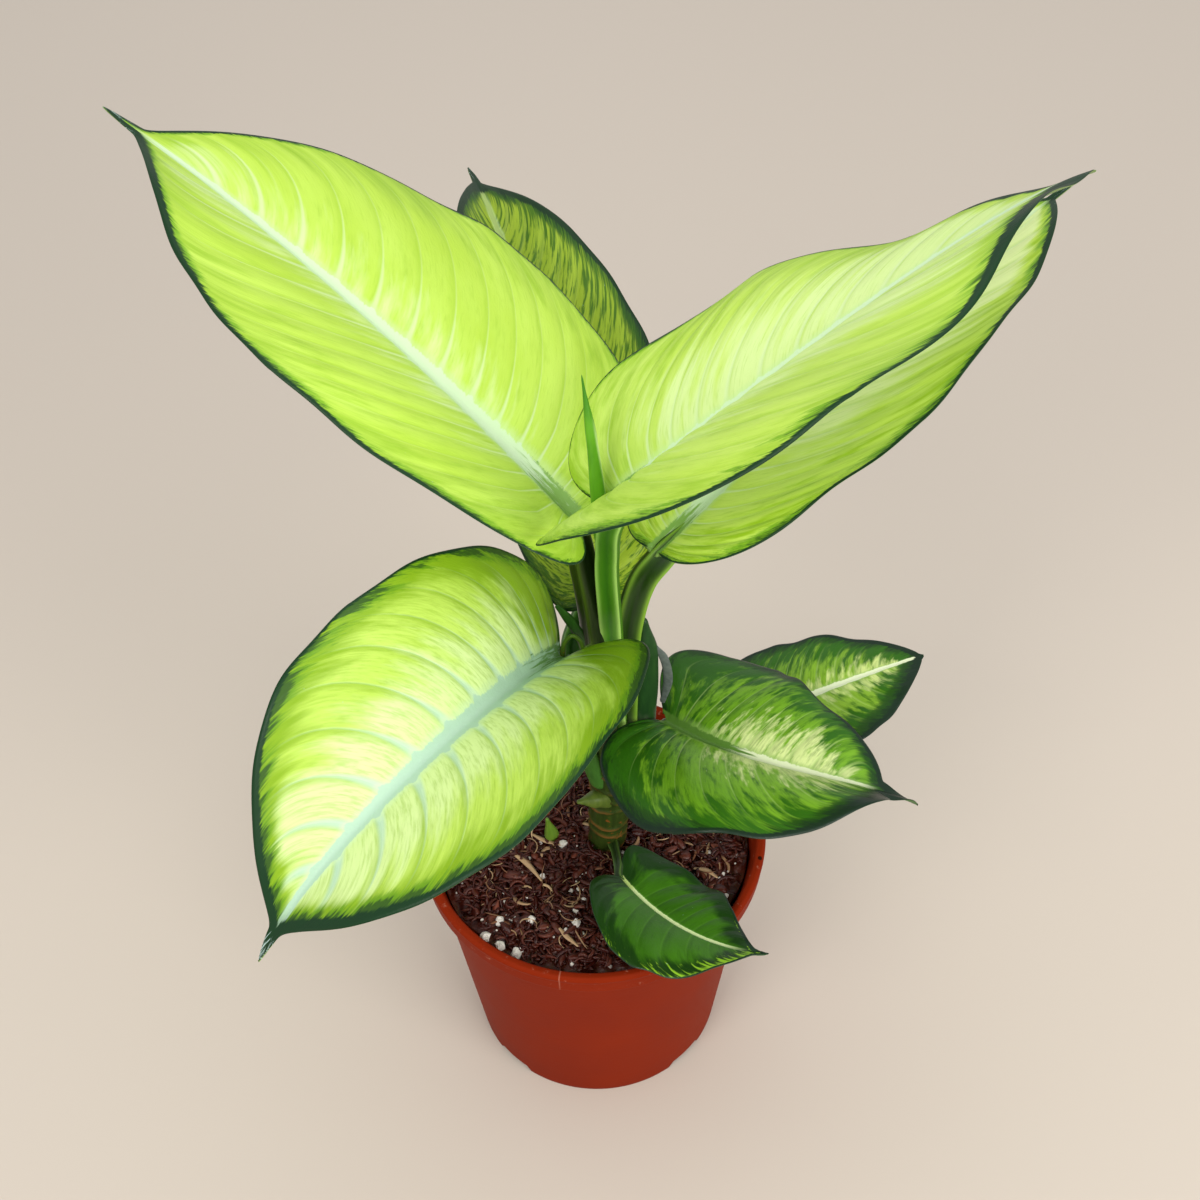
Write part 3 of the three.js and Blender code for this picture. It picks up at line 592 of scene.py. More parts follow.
# Lengths are in millimetres and angles in degrees. A pair is for the left and the right half,
# seen from the base, or for the stalk's foot and neck. heading, swerve, rise, sag and arch lead
# the midrib, and roll and twist tip the blade about it. lobe draws the margin back at the base,
# fold raises each half from the midrib, unfold is the share of the fold lost by the tip, and
# cup bends a half down per CUP_REACH of its width. groove is the way that the stalk's groove
# faces. margin and flecked are the widths of the dark edge and of the flecks inside it, and
# dark_tip is the share of the length from which the tip is dark.
LEAVES = {
    "leaf_upper_left": dict(
        base=(-2, -3, 327), length=246, heading=137, rise=25, sag=15, arch=1, swerve=4, roll=1, twist=9,
        half_width=(59, 68), widest=0.42, taper=2.1, draw=1.08, lobe=(35, 19), fold=(44, 31),
        unfold=0.45, cup=17, wave=(1.7, 1.7), phase=-1,
        stalk=[(7, -3, 176), (4.5, -5, 220), (3.3, -5, 262), (0, -4, 300)],
        groove=-55, stalk_radius=(5.8, 4.8), margin=(1.6, 0.7), dark_tip=0.93, tip_margin=1.2,
        flecked=(5, 3), rib_width=3.9, vein_spacing=18, vein_reach=1.9),
    "leaf_back": dict(
        base=(2, 23, 253), length=213, heading=103, rise=45, sag=60, arch=1.55, swerve=3, roll=13, twist=-2,
        half_width=(42, 45), widest=0.39, taper=1.65, draw=0.85, lobe=(11, 12), fold=(30, 26), unfold=0,
        cup=3, wave=(0.9, 0.9), phase=-0.75, stalk=[(8, 5, 172), (-2, 10, 200), (-6, 15, 236)],
        stalk_radius=(5, 4.2), margin=(1.3, 1.3), dark_tip=0.86, tip_margin=1.8, flecked=(8, 8),
        rib_width=2.4, vein_spacing=15, vein_reach=1.7),
    "leaf_upper_right": dict(
        base=(8, -13, 345), length=234, heading=3, rise=43, sag=71, arch=1.7, swerve=48, roll=-22,
        twist=-21, half_width=(49, 60), widest=0.39, taper=1.32, draw=1.33, lobe=(20, 35), fold=(65, 30),
        unfold=1, cup=19, wave=(2.2, 3.3), phase=-0.8,
        stalk=[(11, 0, 180), (11, -1, 225), (10, -4, 266), (9, -9, 312)],
        groove=-100, stalk_radius=(5.4, 4.4), margin=(0.8, 1.7), dark_tip=0.86, tip_margin=4.0,
        flecked=(2, 9), rib_width=2.2, vein_spacing=18, vein_reach=1.9),
    "leaf_right_behind": dict(
        base=(27, 4, 302), length=225, heading=35, rise=25.5, sag=22, arch=1.5, swerve=5, roll=-6,
        twist=-11, half_width=(40, 51), widest=0.42, taper=1.95, draw=0.78, lobe=(12, 5), fold=(12, 17),
        unfold=0.2, cup=5, wave=(1.8, 1.8), phase=1.6,
        stalk=[(13, 1, 180), (14.6, 2, 222), (16.6, 2, 262), (22.4, 3, 287)],
        groove=-85, stalk_radius=(6, 5.4), margin=(1.1, 1.3), dark_tip=0.93, tip_margin=1.0,
        flecked=(7, 7), rib_width=3.0, vein_spacing=17, vein_reach=1.9),
    "leaf_lower_left": dict(
        base=(-9, -15, 265), length=187, heading=246, rise=38, sag=99, arch=1.27, swerve=-36, roll=-13,
        twist=-2, half_width=(58, 59), widest=0.44, taper=2.2, draw=1.23, lobe=(11, 18), fold=(48, 49),
        unfold=0.6, cup=3, wave=(0.4, 0.4), phase=0.3, stalk=[(5, -3, 168), (-2, -8, 200), (-7, -11, 235)],
        stalk_radius=(5, 4), margin=(1.4, 1.1), dark_tip=0.92, tip_margin=2.4, flecked=(9, 11),
        rib_width=5.4, vein_spacing=17, vein_reach=1.6),
    "leaf_middle_right": dict(
        base=(31, 0, 205), length=117, heading=-44, rise=6, sag=56, arch=2.05, swerve=59, roll=-8,
        twist=-16, half_width=(47, 52), widest=0.26, taper=1.3, draw=0.52, body_end=0.82, drip_width=0.14,
        lobe=(29, 13), fold=(39, 27), unfold=-0.34, cup=33, wave=(1.2, 3.7), phase=-0.1,
        stalk=[(13, -2, 150), (22, -3, 172), (28, -1, 194)], stalk_radius=(4.2, 2.9), margin=(1.0, 2.0),
        dark_tip=0.8, tip_margin=2.4, flecked=(9, 8), rib_width=3.0, vein_spacing=11, vein_reach=1.6),
    "leaf_far_right": dict(
        base=(56, 15, 177), length=93, heading=18, rise=11, sag=12, arch=1.35, swerve=2, roll=8, twist=-6,
        half_width=(29, 31), widest=0.38, taper=1.85, draw=0.78, body_end=0.985, lobe=(14, 8), fold=(9, 7),
        unfold=0.5, cup=13, wave=(1.4, 1.4), phase=2.6, stalk=[(13, 5, 136), (30, 13, 154), (47, 15, 171)],
        stalk_radius=(3.6, 2.4), margin=(1.3, 1.7), dark_tip=0.97, tip_margin=1.0, flecked=(8, 10),
        rib_width=1.5, vein_spacing=9, vein_reach=1.6),
    "leaf_front_small": dict(
        base=(12, -29, 135), length=76, heading=-55, rise=-5, sag=-27, arch=1.1, swerve=34, roll=-16,
        twist=16, half_width=(26, 32), widest=0.43, taper=1.7, draw=1.18, lobe=(20, 9), fold=(17, 24),
        unfold=0.7, cup=18, wave=(1.2, 1.2), phase=-2.85,
        stalk=[(8, -3, 127), (10, -14, 131), (11, -23, 134)],
        stalk_radius=(2.8, 2), margin=(0.8, 0.4), dark_tip=0.93, tip_margin=1.0, flecked=(1, 11),
        fleck_start=0.1, rib_width=0.4, vein_spacing=9, vein_reach=1.5),
}
BLADE_THICKNESS = 0.6
RIB_DEPTH = 2.6
BODY_END = 0.93
DRIP_WIDTH = 0.065
VEIN_SWEEP = 0.1
VEIN_BULGE = 0.045
RIB_SINK = 0.8
RIB_TIP_HALF_WIDTH = 0.55
FINE_WAVE = 0.4
CUP_REACH = 50.0
SPOT_GREY = "#b9d3cc"
STALK_MARK = "#a9b97a"


def smoothstep(low, high, value):
    """0 at low, 1 at high, and the cubic between them that starts and ends level."""
    share = np.clip((value - low) / (high - low), 0, 1)
    return share * share * (3 - 2 * share)


def rib_direction(leaf, s):
    """The midrib's direction at the shares s. The heading turns evenly by swerve, and the
    rise over level falls by sag times s to the power arch."""
    heading = np.radians(leaf["heading"] + leaf["swerve"] * s)
    rise = np.radians(leaf["rise"] - leaf["sag"] * s ** leaf["arch"])
    return np.stack([np.cos(rise) * np.cos(heading), np.cos(rise) * np.sin(heading), np.sin(rise)], -1)


def rib_frame(leaf, s, steps=48):
    """Centre, forward, left and up of the midrib at the shares s. The centre adds up steps
    of equal length, each along the direction at its middle. Left starts level and is
    tipped about forward by roll plus twist times s."""
    middle = (np.arange(steps) + 0.5) / steps
    knots = np.vstack([np.zeros(3), np.cumsum(rib_direction(leaf, middle) * leaf["length"] / steps, 0)])
    knots = knots + np.array(leaf["base"], float)
    centre = np.stack([np.interp(s * steps, np.arange(steps + 1), knots[:, k]) for k in range(3)], -1)
    forward = rib_direction(leaf, s)
    level = np.stack([-forward[..., 1], forward[..., 0], 0 * forward[..., 0]], -1)
    level /= np.linalg.norm(level, axis=-1, keepdims=True)
    upright = np.cross(forward, level)
    tilt = np.radians(leaf["roll"] + leaf["twist"] * s)[..., None]
    left = level * np.cos(tilt) + upright * np.sin(tilt)
    return centre, forward, left, upright * np.cos(tilt) - level * np.sin(tilt)


def outline(leaf, u):
    """Half width as a share of the widest: a round base, a body that tapers as
    (1 - b^taper)^draw, and a narrow drip tip."""
    widest = leaf["widest"]
    base = np.sqrt(np.clip(1 - np.clip((widest - u) / widest, 0, 1) ** 2.2, 0, 1))
    body_end = leaf.get("body_end", BODY_END)
    b = np.clip((u - widest) / (body_end - widest), 0, 1)
    body = (1 - b ** leaf["taper"]) ** leaf["draw"]
    drip_width = leaf.get("drip_width", DRIP_WIDTH)
    drip = drip_width * np.minimum((1 - u) / (1 - body_end) / 1.6, 1) ** 0.8
    return np.where(u < widest, base, np.hypot(body, drip))


def flat_blade(leaf, u, t):
    """Place on the flattened blade, x along the midrib and y out from it, at u along the
    leaf and t from midrib to margin, which is -1 on the right and 1 on the left. Rows of
    equal u run as the side veins do: they leave the midrib squarely, far behind where they
    meet the margin, and bend forward on the way. The margin wavers by about 1 per cent."""
    lobe, half_width = (np.where(t > 0, leaf[key][0], leaf[key][1]) for key in ("lobe", "half_width"))
    turn = np.arccos(np.clip(1 - u / leaf["widest"], -1, 1))
    shift = np.where(u < leaf["widest"], lobe * np.sin(2 * turn) * np.cos(turn), 0)
    rib_x = leaf["length"] * u ** leaf["vein_reach"]
    x = rib_x + (leaf["length"] * u - shift - rib_x) * np.abs(t) ** 1.5
    long_waver = 0.008 * np.sin(23 * u + 4 * leaf["phase"] + np.sign(t))
    waver = 1 + long_waver + 0.006 * np.sin(47 * u + np.sign(t))
    return x, half_width * outline(leaf, u) * np.abs(t) * waver


def margin_distance(leaf, x, y, side):
    """Distance on the flattened blade from each point to its own side's margin."""
    u = (1 - np.cos(np.linspace(0, 1, 450) * np.pi)) / 2
    nearest = np.empty(x.shape)
    for way in (1.0, -1.0):
        margin_x, margin_y = flat_blade(leaf, u, way + 0 * u)
        mine = side == way
        nearest[mine] = np.hypot(x[mine][:, None] - margin_x, y[mine][:, None] - margin_y).min(1)
    return nearest


def blade_surface(leaf, rows=230, columns=44):
    """Upper and under faces of the blade as grids of points, and the numbers that its
    colour follows. The flat blade is bent along the midrib's curve, each half is folded up
    by an angle that eases off towards tip and margin, and the margin is waved. Between
    side veins the blade bulges up a little; the midrib is sunk above and stands out
    below. The veins, the bulges and the streaks sweep forward close to the margin."""
    u = ((1 - np.cos(np.linspace(0.012, 1, rows) * np.pi)) / 2)[:, None]
    t = np.linspace(-1, 1, 2 * columns + 1)[None, :]
    u, t = np.broadcast_arrays(u, t)
    x, y = flat_blade(leaf, u, t)
    side = np.where(t < 0, -1.0, 1.0)

    def by_side(key):
        return np.where(side > 0, leaf[key][0], leaf[key][1])

    s = np.clip(x / leaf["length"], 0, 1)
    centre, forward, left, up = rib_frame(leaf, s)
    angle = np.radians(by_side("fold") * (1 - leaf["unfold"] * s) - leaf["cup"] * y / CUP_REACH)
    ripple = np.sin(6 * np.pi * u + leaf["phase"] + np.where(side > 0, 0, 1.3))
    wave = by_side("wave") * t ** 2 * np.sqrt(np.sin(np.pi * u)) * ripple
    fine_wave = FINE_WAVE * t ** 4 * np.sin(31 * u + 5 * leaf["phase"] + side)

    edge = margin_distance(leaf, x, y, side)
    swept = VEIN_SWEEP * leaf["length"] * np.exp(-edge / (0.5 * VEIN_SWEEP * leaf["length"]))
    vein = leaf["length"] * (u + 0.25 * u ** 2) + 2.0 * np.sin(9 * u + side * 1.7) + side * 3.1 - swept
    off_vein = np.abs((vein / leaf["vein_spacing"]) % 1 - 0.5) * 2
    inner_blade = smoothstep(0, 9, y) * smoothstep(1.0, 0.72, np.abs(t))
    quilt = VEIN_BULGE * leaf["vein_spacing"] * (1 - off_vein ** 2) * inner_blade
    rib_half = RIB_TIP_HALF_WIDTH + leaf["rib_width"] * (1 - s) ** 0.9
    sunk = -RIB_SINK * np.exp(-(y / rib_half) ** 2) * (1 - s)
    middle = (centre + forward * np.minimum(x, 0)[..., None]
              + left * (side * y * np.cos(angle))[..., None]
              + up * (y * np.sin(angle) * y / (y + 2.0) + wave + fine_wave + quilt)[..., None])
    normal = np.cross(np.gradient(middle, axis=0), np.gradient(middle, axis=1))
    normal /= np.maximum(np.linalg.norm(normal, axis=-1, keepdims=True), 1e-9)
    ridge = RIB_DEPTH * (1 - u) ** 0.8 * np.exp(-(y / (0.8 * rib_half + 0.4)) ** 2)
    edge_round = np.sqrt(np.clip((1 - np.abs(t)) / 0.02, 0.03, 1))
    upper = middle + normal * ((BLADE_THICKNESS / 2 + sunk) * edge_round)[..., None]
    under = middle - normal * ((BLADE_THICKNESS / 2 + ridge) * edge_round)[..., None]

    width = by_side("margin") * (0.5 + 0.5 * smoothstep(0, 0.25, s))
    width = width * (1 + leaf["tip_margin"] * smoothstep(0.45, 0.95, s))
    in_from_base = np.maximum(smoothstep(0, 6, y), smoothstep(0.5, 0.8, s))
    dark_tip = smoothstep(leaf["dark_tip"], leaf["dark_tip"] + 0.05, s)
    at_margin = np.maximum(np.clip(1.5 - edge / width, 0, 1) * in_from_base, dark_tip)
    at_flecks = np.clip(1 - (edge - width) / by_side("flecked"), 0, 1) ** 1.4
    at_flecks = at_flecks * smoothstep(leaf.get("fleck_start", -1), leaf.get("fleck_start", -1) + 0.3, s)
    numbers = dict(vein=vein, rib=y, along=s, side=side, rib_share=y / rib_half, at_margin=at_margin,
                   at_flecks=at_flecks, edge=edge)
    return upper, under, numbers


def blade_mesh(upper, under):
    """One closed shell: both faces as grids of quads, joined round their edge."""
    rows, columns = upper.shape[:2]
    row = np.arange(rows - 1)[:, None] * columns
    here = np.arange(columns - 1)[None, :]
    top = np.stack([row + here, row + columns + here, row + columns + here + 1, row + here + 1], -1)
    top = top.reshape(-1, 4)
    below = rows * columns
    loop = np.concatenate([np.arange(rows) * columns,
                           (rows - 1) * columns + np.arange(1, columns),
                           (np.arange(rows - 2, -1, -1) + 1) * columns - 1,
                           np.arange(columns - 2, 0, -1)])
    after = np.roll(loop, -1)
    wall = np.stack([after, loop, below + loop, below + after], -1)
    return (np.concatenate([upper.reshape(-1, 3), under.reshape(-1, 3)]),
            np.concatenate([top, top[:, ::-1] + below, wall]))


def blade_skin(name, look, vein_spacing):
    """Blade epidermis under a thin wax: satin, and lit through from behind. Patterns are
    noises drawn out along the side veins, and a pattern covers as much of a place as its
    cover there says: blotches grow towards the margin, pale tissue towards the midrib,
    flecks near the margin. The full-green margin has a ragged inner edge, and dark flecks
    lie along it. Real streaks are 1 to 3 mm wide, and some here are drawn a little coarser."""
    material, add = new_material(name)

    def product(*factors):
        """The factors multiplied. A factor is a number, an output or a smooth step, given
        as value, low, high, top and bottom: bottom, or 0, at low and top, or 1, at high."""
        result = None
        for factor in factors:
            if isinstance(factor, tuple):
                value, low, high, top, bottom = factor + (1.0, 0.0)[len(factor) - 3:]
                factor = add("MapRange", (value, low, high, bottom, top), interpolation_type="SMOOTHSTEP")
            result = factor if result is None else add("Math", (result, factor), operation="MULTIPLY")
        return result

    def pattern(across_vein, along_vein, detail=4.0):
        """Noise with cells of these sizes in millimetres, at twice its contrast, and not
        the same on both sides of the midrib."""
        scale = (1 / across_vein, 1 / along_vein, 7.3)
        drawn = add("VectorMath", (place, scale), operation="MULTIPLY")
        noise = add("TexNoise", {"Vector": drawn, "Scale": 1.0, "Detail": detail, "Roughness": 0.55})
        return add("Math", (noise, 2.0, -0.5), operation="MULTIPLY_ADD")

    def covered(noise, cover, soft):
        """The share of paint where a noise is under its cover, with an edge this soft."""
        over = add("Math", (product(cover, 1 + soft), noise), operation="SUBTRACT")
        return product((over, 0.0, soft))

    vein, rib, along, side, edge, rib_share, at_margin, at_flecks, under = (
        add("Attribute", take="Fac", attribute_name=key) for key in (
            "vein", "rib", "along", "side", "edge", "rib_share", "at_margin", "at_flecks", "under"))
    place = add("CombineXYZ", (vein, rib, side))
    cloud, fine, fleck = pattern(24.0, 32.0, 3.0), pattern(1.0, 5.5), pattern(1.1, 1.6)
    streak, patch = pattern(*look["streak_size"]), pattern(*look["patch_size"])

    # Over the base lobes the blotch colour is painted shadow, cast by the leaves above.
    base_lobe_shadow = product((along, 0.28, 0.0, look["lobe_shadow_cover"]), (rib, 6.0, 24.0))
    outward = product((edge, 0.0, look["blotch_reach"], *look["blotch_cover"]))
    blotch_cover = add("Math", (outward, base_lobe_shadow), operation="ADD")
    pale_cover = product((rib, look["pale_reach"], 0.0, look["pale_cover"]), (along, *look["pale_along"]),
                         (edge, 1.0, look["pale_inset"]), (along, *look["pale_end"]))

    inward = product((edge, 2.0, 16.0))
    off_vein = add("Math", (vein, vein_spacing / 2), operation="PINGPONG")
    vein_width = product((rib, 0.0, 26.0, *look["vein_width"]))
    widths_off = add("Math", (off_vein, vein_width), operation="DIVIDE")
    fading = product((rib, look["vein_fade"], 0.0, look["vein_share"], 0.15))
    vein_line = product((widths_off, 1.5, 0.2), fading, inward)
    above_zero = add("Math", (vein, 20 * vein_spacing), operation="ADD")
    past_vein = add("Math", (above_zero, vein_spacing), operation="MODULO")
    vein_shade = product((past_vein, 4.0, 0.5, look["vein_shade"]), inward)

    mottle = add("Math", (patch, 0.5, product(cloud, 0.5)), operation="MULTIPLY_ADD")
    uneven = product((mottle, 0.25, 0.7, 1.4, 0.35))
    fleck_cover = product(at_flecks, uneven, look["fleck_cover"])
    flecks = product(covered(fleck, fleck_cover, look["fleck_soft"]), (at_flecks, 0.0, 0.7, 1.0, 0.3))
    outer_cover = product((at_flecks, 0.3, 1.0, look["outer_cover"]), uneven)
    outer_flecks = product(covered(pattern(1.4, 1.8), outer_cover, 0.5), 0.75)
    ragged = add("Math", (fleck, 0.5, product(fine, 0.5)), operation="MULTIPLY_ADD")
    tip_spots = product((along, 0.9, 0.96, look["tip_spots"]))

    flare = product((off_vein, 3.0, 0.0, look["rib_flare"]), (along, 0.02, 0.15))
    off_rib = add("Math", (rib_share, flare), operation="SUBTRACT")
    rough_edge = add("Math", (fleck, 0.35, off_rib), operation="MULTIPLY_ADD")
    rib_green = product((along, look["rib_base_end"], 0.0, look["rib_base_cover"]))
    rib_colour = painted(add, look["rib"], (covered(pattern(22.0, 1.0), rib_green, 0.4), look["rib_base"]))

    body = painted(
        add, look["body"],
        (cloud, look["body_light"]),
        (covered(patch, blotch_cover, look["blotch_soft"]), look["blotch"]),
        (covered(streak, pale_cover, look["pale_soft"]), look["pale"]),
        (product(covered(fine, look["striation"], 0.8), 0.5), look["blotch"]),
        (vein_shade, look["blotch"]),
        (vein_line, look["vein"]),
        (flecks, look["flecks"]),
        (outer_flecks, look["margin"]),
        (product((rough_edge, 2.2, 1.2, 0.6), inward), look["rib_shade"]),
        (product((rough_edge, 1.3, 1.05), (along, *look["rib_end"])), rib_colour),
        (covered(ragged, at_margin, 0.4), look["margin"]),
        (covered(fleck, tip_spots, 0.1), SPOT_GREY),
        (product(under, 0.45), look["underside"]))
    relief = add("Math", (fine, 0.5, fleck), operation="MULTIPLY_ADD")
    bump = add("Bump", {"Height": relief, "Strength": 0.15, "Distance": 0.5 * MM})
    skin = add("BsdfPrincipled", {
        "Base Color": body, "Roughness": look["roughness"], "Normal": bump, "Specular IOR Level": 0.28})
    glow = add("BsdfTranslucent", {"Color": body, "Normal": bump})
    add("OutputMaterial", {"Surface": add("MixShader", (look["glow"], skin, glow))})
    return material


# Sizes, reaches and widths are in millimetres. pale_along, pale_end and rib_end are pairs of
# shares of the length: where a paint is none, and where it is full. A cover is the share of a
# place that is painted, and blotch_cover is a pair, deep inside and at the margin. soft is how
# gently the paint ends.
# The cover at the base lobes is painted shadow of the leaves above, most of it on the lower left leaf.
PALE = dict(
    body="#c0e24a", body_light="#cfee66", blotch="#a4cd34", blotch_reach=30.0, blotch_cover=(0.25, 0.5),
    blotch_soft=0.9, lobe_shadow_cover=0.0, patch_size=(6.0, 12.0), pale="#e0f5a4", pale_reach=44.0,
    pale_along=(0.0, 0.2), pale_end=(1.2, 1.0), pale_cover=0.48, pale_soft=0.8, pale_inset=12.0,
    streak_size=(6.0, 24.0), striation=0.3, vein="#e3f6bc", vein_share=0.8, vein_width=(0.5, 1.5),
    vein_fade=36.0, vein_shade=0.35, flecks="#84b828", fleck_cover=0.9, fleck_soft=0.8, outer_cover=0.5,
    rib="#dcf3cc", rib_shade="#d3f0a8", rib_base="#8fbc5c", rib_base_end=0.2, rib_base_cover=0.8,
    rib_end=(0.96, 0.84), rib_flare=0.3, margin="#123a1a", tip_spots=0.3, underside="#b6d878",
    roughness=0.4, glow=0.24)
STREAKED = PALE | dict(
    body="#649a18", body_light="#86b82e", blotch="#2e640c", blotch_reach=26.0, blotch_cover=(0.32, 0.62),
    blotch_soft=0.45, patch_size=(3.2, 8.0), lobe_shadow_cover=0.2, pale="#d8e69c", pale_reach=40.0,
    pale_along=(0.0, 0.34), pale_end=(0.92, 0.55), pale_cover=0.66, pale_soft=0.4, streak_size=(3.0, 9.0),
    striation=0.4, vein="#b4d07c", vein_share=0.6, vein_width=(0.3, 0.7), vein_fade=40.0, vein_shade=0.2,
    flecks="#1f480c", fleck_cover=1.0, fleck_soft=0.7, rib="#e4ecc8", rib_shade="#98bc64",
    rib_base="#5c8634", rib_base_end=0.55, rib_base_cover=1.2, rib_end=(0.81, 0.72), rib_flare=0.15,
    margin="#102a18", tip_spots=0.0, underside="#5f8f3f", roughness=0.34, glow=0.12)
LOOKS = {
    "leaf_upper_left": PALE,
    "leaf_upper_right": PALE | dict(
        body="#c6e658", body_light="#d6f078", pale="#e3f7aa", pale_reach=60.0, pale_cover=0.7),
    # Painted light: this leaf's colours are lighter than its own, making up for the shadow that the upper
    # right leaf casts on it.
    "leaf_right_behind": PALE | dict(
        body="#ceec56", body_light="#dcf474", blotch="#a8d024", pale="#eefcb4", pale_reach=62.0,
        pale_along=(0.0, 0.5), pale_cover=1.0, blotch_cover=(0.22, 0.5), blotch_soft=0.6),
    "leaf_lower_left": PALE | dict(
        body="#bcde50", body_light="#cdea6c", blotch="#8cb41c", blotch_reach=22.0, blotch_cover=(0.2, 0.75),
        lobe_shadow_cover=0.9, pale="#dff4a8", pale_reach=60.0, pale_end=(1.05, 0.7), pale_cover=0.85,
        striation=0.4, vein="#c2e2cc", vein_width=(0.5, 2.2), vein_share=0.9, vein_shade=0.55,
        flecks="#6a9c16", fleck_cover=1.1, outer_cover=0.75, rib="#bcdcc4", rib_shade="#dcf4c4",
        rib_base="#7aa862", rib_base_end=0.3, rib_base_cover=0.6, rib_flare=0.5, tip_spots=0.4),
    "leaf_back": PALE | dict(
        body="#9ebc28", body_light="#b2cc3a", blotch="#4c780e", blotch_reach=16.0, blotch_cover=(0.4, 0.55),
        blotch_soft=0.35, patch_size=(2.0, 4.2), pale_cover=0.0, flecks="#336010", fleck_cover=1.0,
        fleck_soft=0.7, margin="#143818", vein="#a6c050", vein_share=0.4, rib="#b4cc78",
        underside="#7fa850"),
    "leaf_middle_right": STREAKED,
    "leaf_far_right": STREAKED | dict(
        body="#74a420", body_light="#94be38", pale="#d4e48e", lobe_shadow_cover=0.0, pale_reach=18.0,
        pale_along=(0.1, 0.6), pale_end=(1.0, 0.8), pale_cover=0.55, blotch_cover=(0.3, 0.7),
        rib_base_end=0.1, pale_inset=10.0, vein_share=0.3, rib_end=(0.99, 0.95)),
    "leaf_front_small": PALE | dict(
        body="#30600e", body_light="#467e18", blotch="#1a3c0e", blotch_reach=14.0, blotch_cover=(0.15, 0.8),
        blotch_soft=0.7, lobe_shadow_cover=0.6, patch_size=(5.0, 9.0), pale_cover=0.0, vein="#629c30",
        vein_share=0.25, vein_width=(0.3, 0.6), vein_shade=0.2, flecks="#8cbc2e", fleck_cover=0.48,
        outer_cover=0.15, fleck_soft=0.3, rib="#d0e0a4", rib_shade="#568a30", rib_base="#b4c878",
        rib_end=(0.9, 0.7), rib_flare=0.1, margin="#142f1a", tip_spots=0.0, underside="#3f6f2c",
        roughness=0.3, glow=0.06),
}
# Body, dark and ridge colour of each stalk. The dark colour streaks it and is also painted shade down its
# groove; the ridge colour is a painted highlight along its sheath edges.
STALK_COLOURS = {
    "leaf_upper_left": ("#223008", "#0c1704", "#3c5014"),
    "leaf_upper_right": ("#5a8c1e", "#2c5e10", "#a4cc68"),
    "leaf_right_behind": ("#34560f", "#152c06", "#86b03a"),
    "leaf_lower_left": ("#4f8230", "#2a5420", "#7fa850"),
    "leaf_back": ("#3f7420", "#1f4610", "#5f9438"),
    "leaf_middle_right": ("#3a611c", "#1c3c14", "#6f8a3c"),
    "leaf_far_right": ("#447f24", "#265218", "#729f48"),
    "leaf_front_small": ("#354f1e", "#1c2f10", "#526f2c"),
}


def stalk_groove(angle, s):
    """Depth of the groove down the stalk's inner side: deep below, shallow at the blade."""
    return np.exp(-(np.minimum(angle, 2 * np.pi - angle) / 0.5) ** 2) * (1 - 0.6 * s)


def stalk_crest(angle, s):
    """The raised sheath edge on each side of the groove."""
    return np.exp(-((np.minimum(angle, 2 * np.pi - angle) - 0.85) / 0.16) ** 2) * (1 - 0.6 * s)


def stalk_shape(angle, s):
    """Round but for the groove and the two sheath edges."""
    return 1 - 0.4 * stalk_groove(angle, s) + 0.3 * stalk_crest(angle, s)


def stalk_path(leaf):
    """The stalk's points, with two more that lead it in under the start of the midrib."""
    centre, forward, left, up = rib_frame(leaf, np.array([0, 0.1]))
    half_fold = np.cos(np.radians(np.mean(leaf["fold"])))
    under_rib = centre - up * np.array([[leaf["stalk_radius"][1] / half_fold], [RIB_DEPTH + 0.4]])
    return [*leaf["stalk"], *map(tuple, under_rib)]


for name, leaf in LEAVES.items():
    upper, under, numbers = blade_surface(leaf)
    blade_points, blade_faces = blade_mesh(upper, under)
    groove = np.radians(leaf.get("groove", leaf["heading"] + 180))
    inner = np.array([np.cos(groove), np.sin(groove), 0.8])
    foot, neck = leaf["stalk_radius"]
    stalk_radii = (foot, *[neck] * len(leaf["stalk"]), 0.4 * neck)
    rings, angle, share = rod_rings(stalk_path(leaf), stalk_radii, inner, stalk_shape, 110, 56)
    stalk_points, stalk_faces = ring_stack(rings)
    values = {key: np.concatenate([value.ravel(), value.ravel(), np.zeros(len(stalk_points))])
              for key, value in numbers.items()}
    half = upper.shape[0] * upper.shape[1]
    values["under"] = np.concatenate([np.zeros(half), np.ones(half), np.zeros(len(stalk_points))])
    # On the stalk the groove attribute paints shade down the groove and the crest attribute a highlight
    # along the sheath edges: painted shade and painted highlight.
    for key, value in (("groove", stalk_groove(angle, 0.1)), ("crest", stalk_crest(angle, 0.2))):
        values[key] = np.concatenate([np.zeros(len(blade_points)), value.ravel(), np.zeros(2)])
    body, dark, ridge = STALK_COLOURS[name]
    skins = [blade_skin(name + "_epidermis", LOOKS[name], leaf["vein_spacing"]),
             stem_skin(name + "_stalk_epidermis", body, dark, STALK_MARK, marks=0.12, ridge=ridge,
                       roughness=0.36, streak=16.67)]
    faces = [blade_faces, *[group + len(blade_points) for group in stalk_faces]]
    counts = [len(blade_faces), sum(len(group) for group in stalk_faces)]
    piece = mesh_piece(name + "_grown", np.concatenate([blade_points, stalk_points]), faces, skins,
                       np.repeat([0, 1], counts), values)
    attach(piece, "root")
    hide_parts(name)

# ------------------------------------------------------------------ the sheath's ear
# Where the lower left leaf's stalk meets its blade, the sheath ends in a small curled ear
# with a browned inner edge, and the sheath's rolled margin runs up behind the blade.

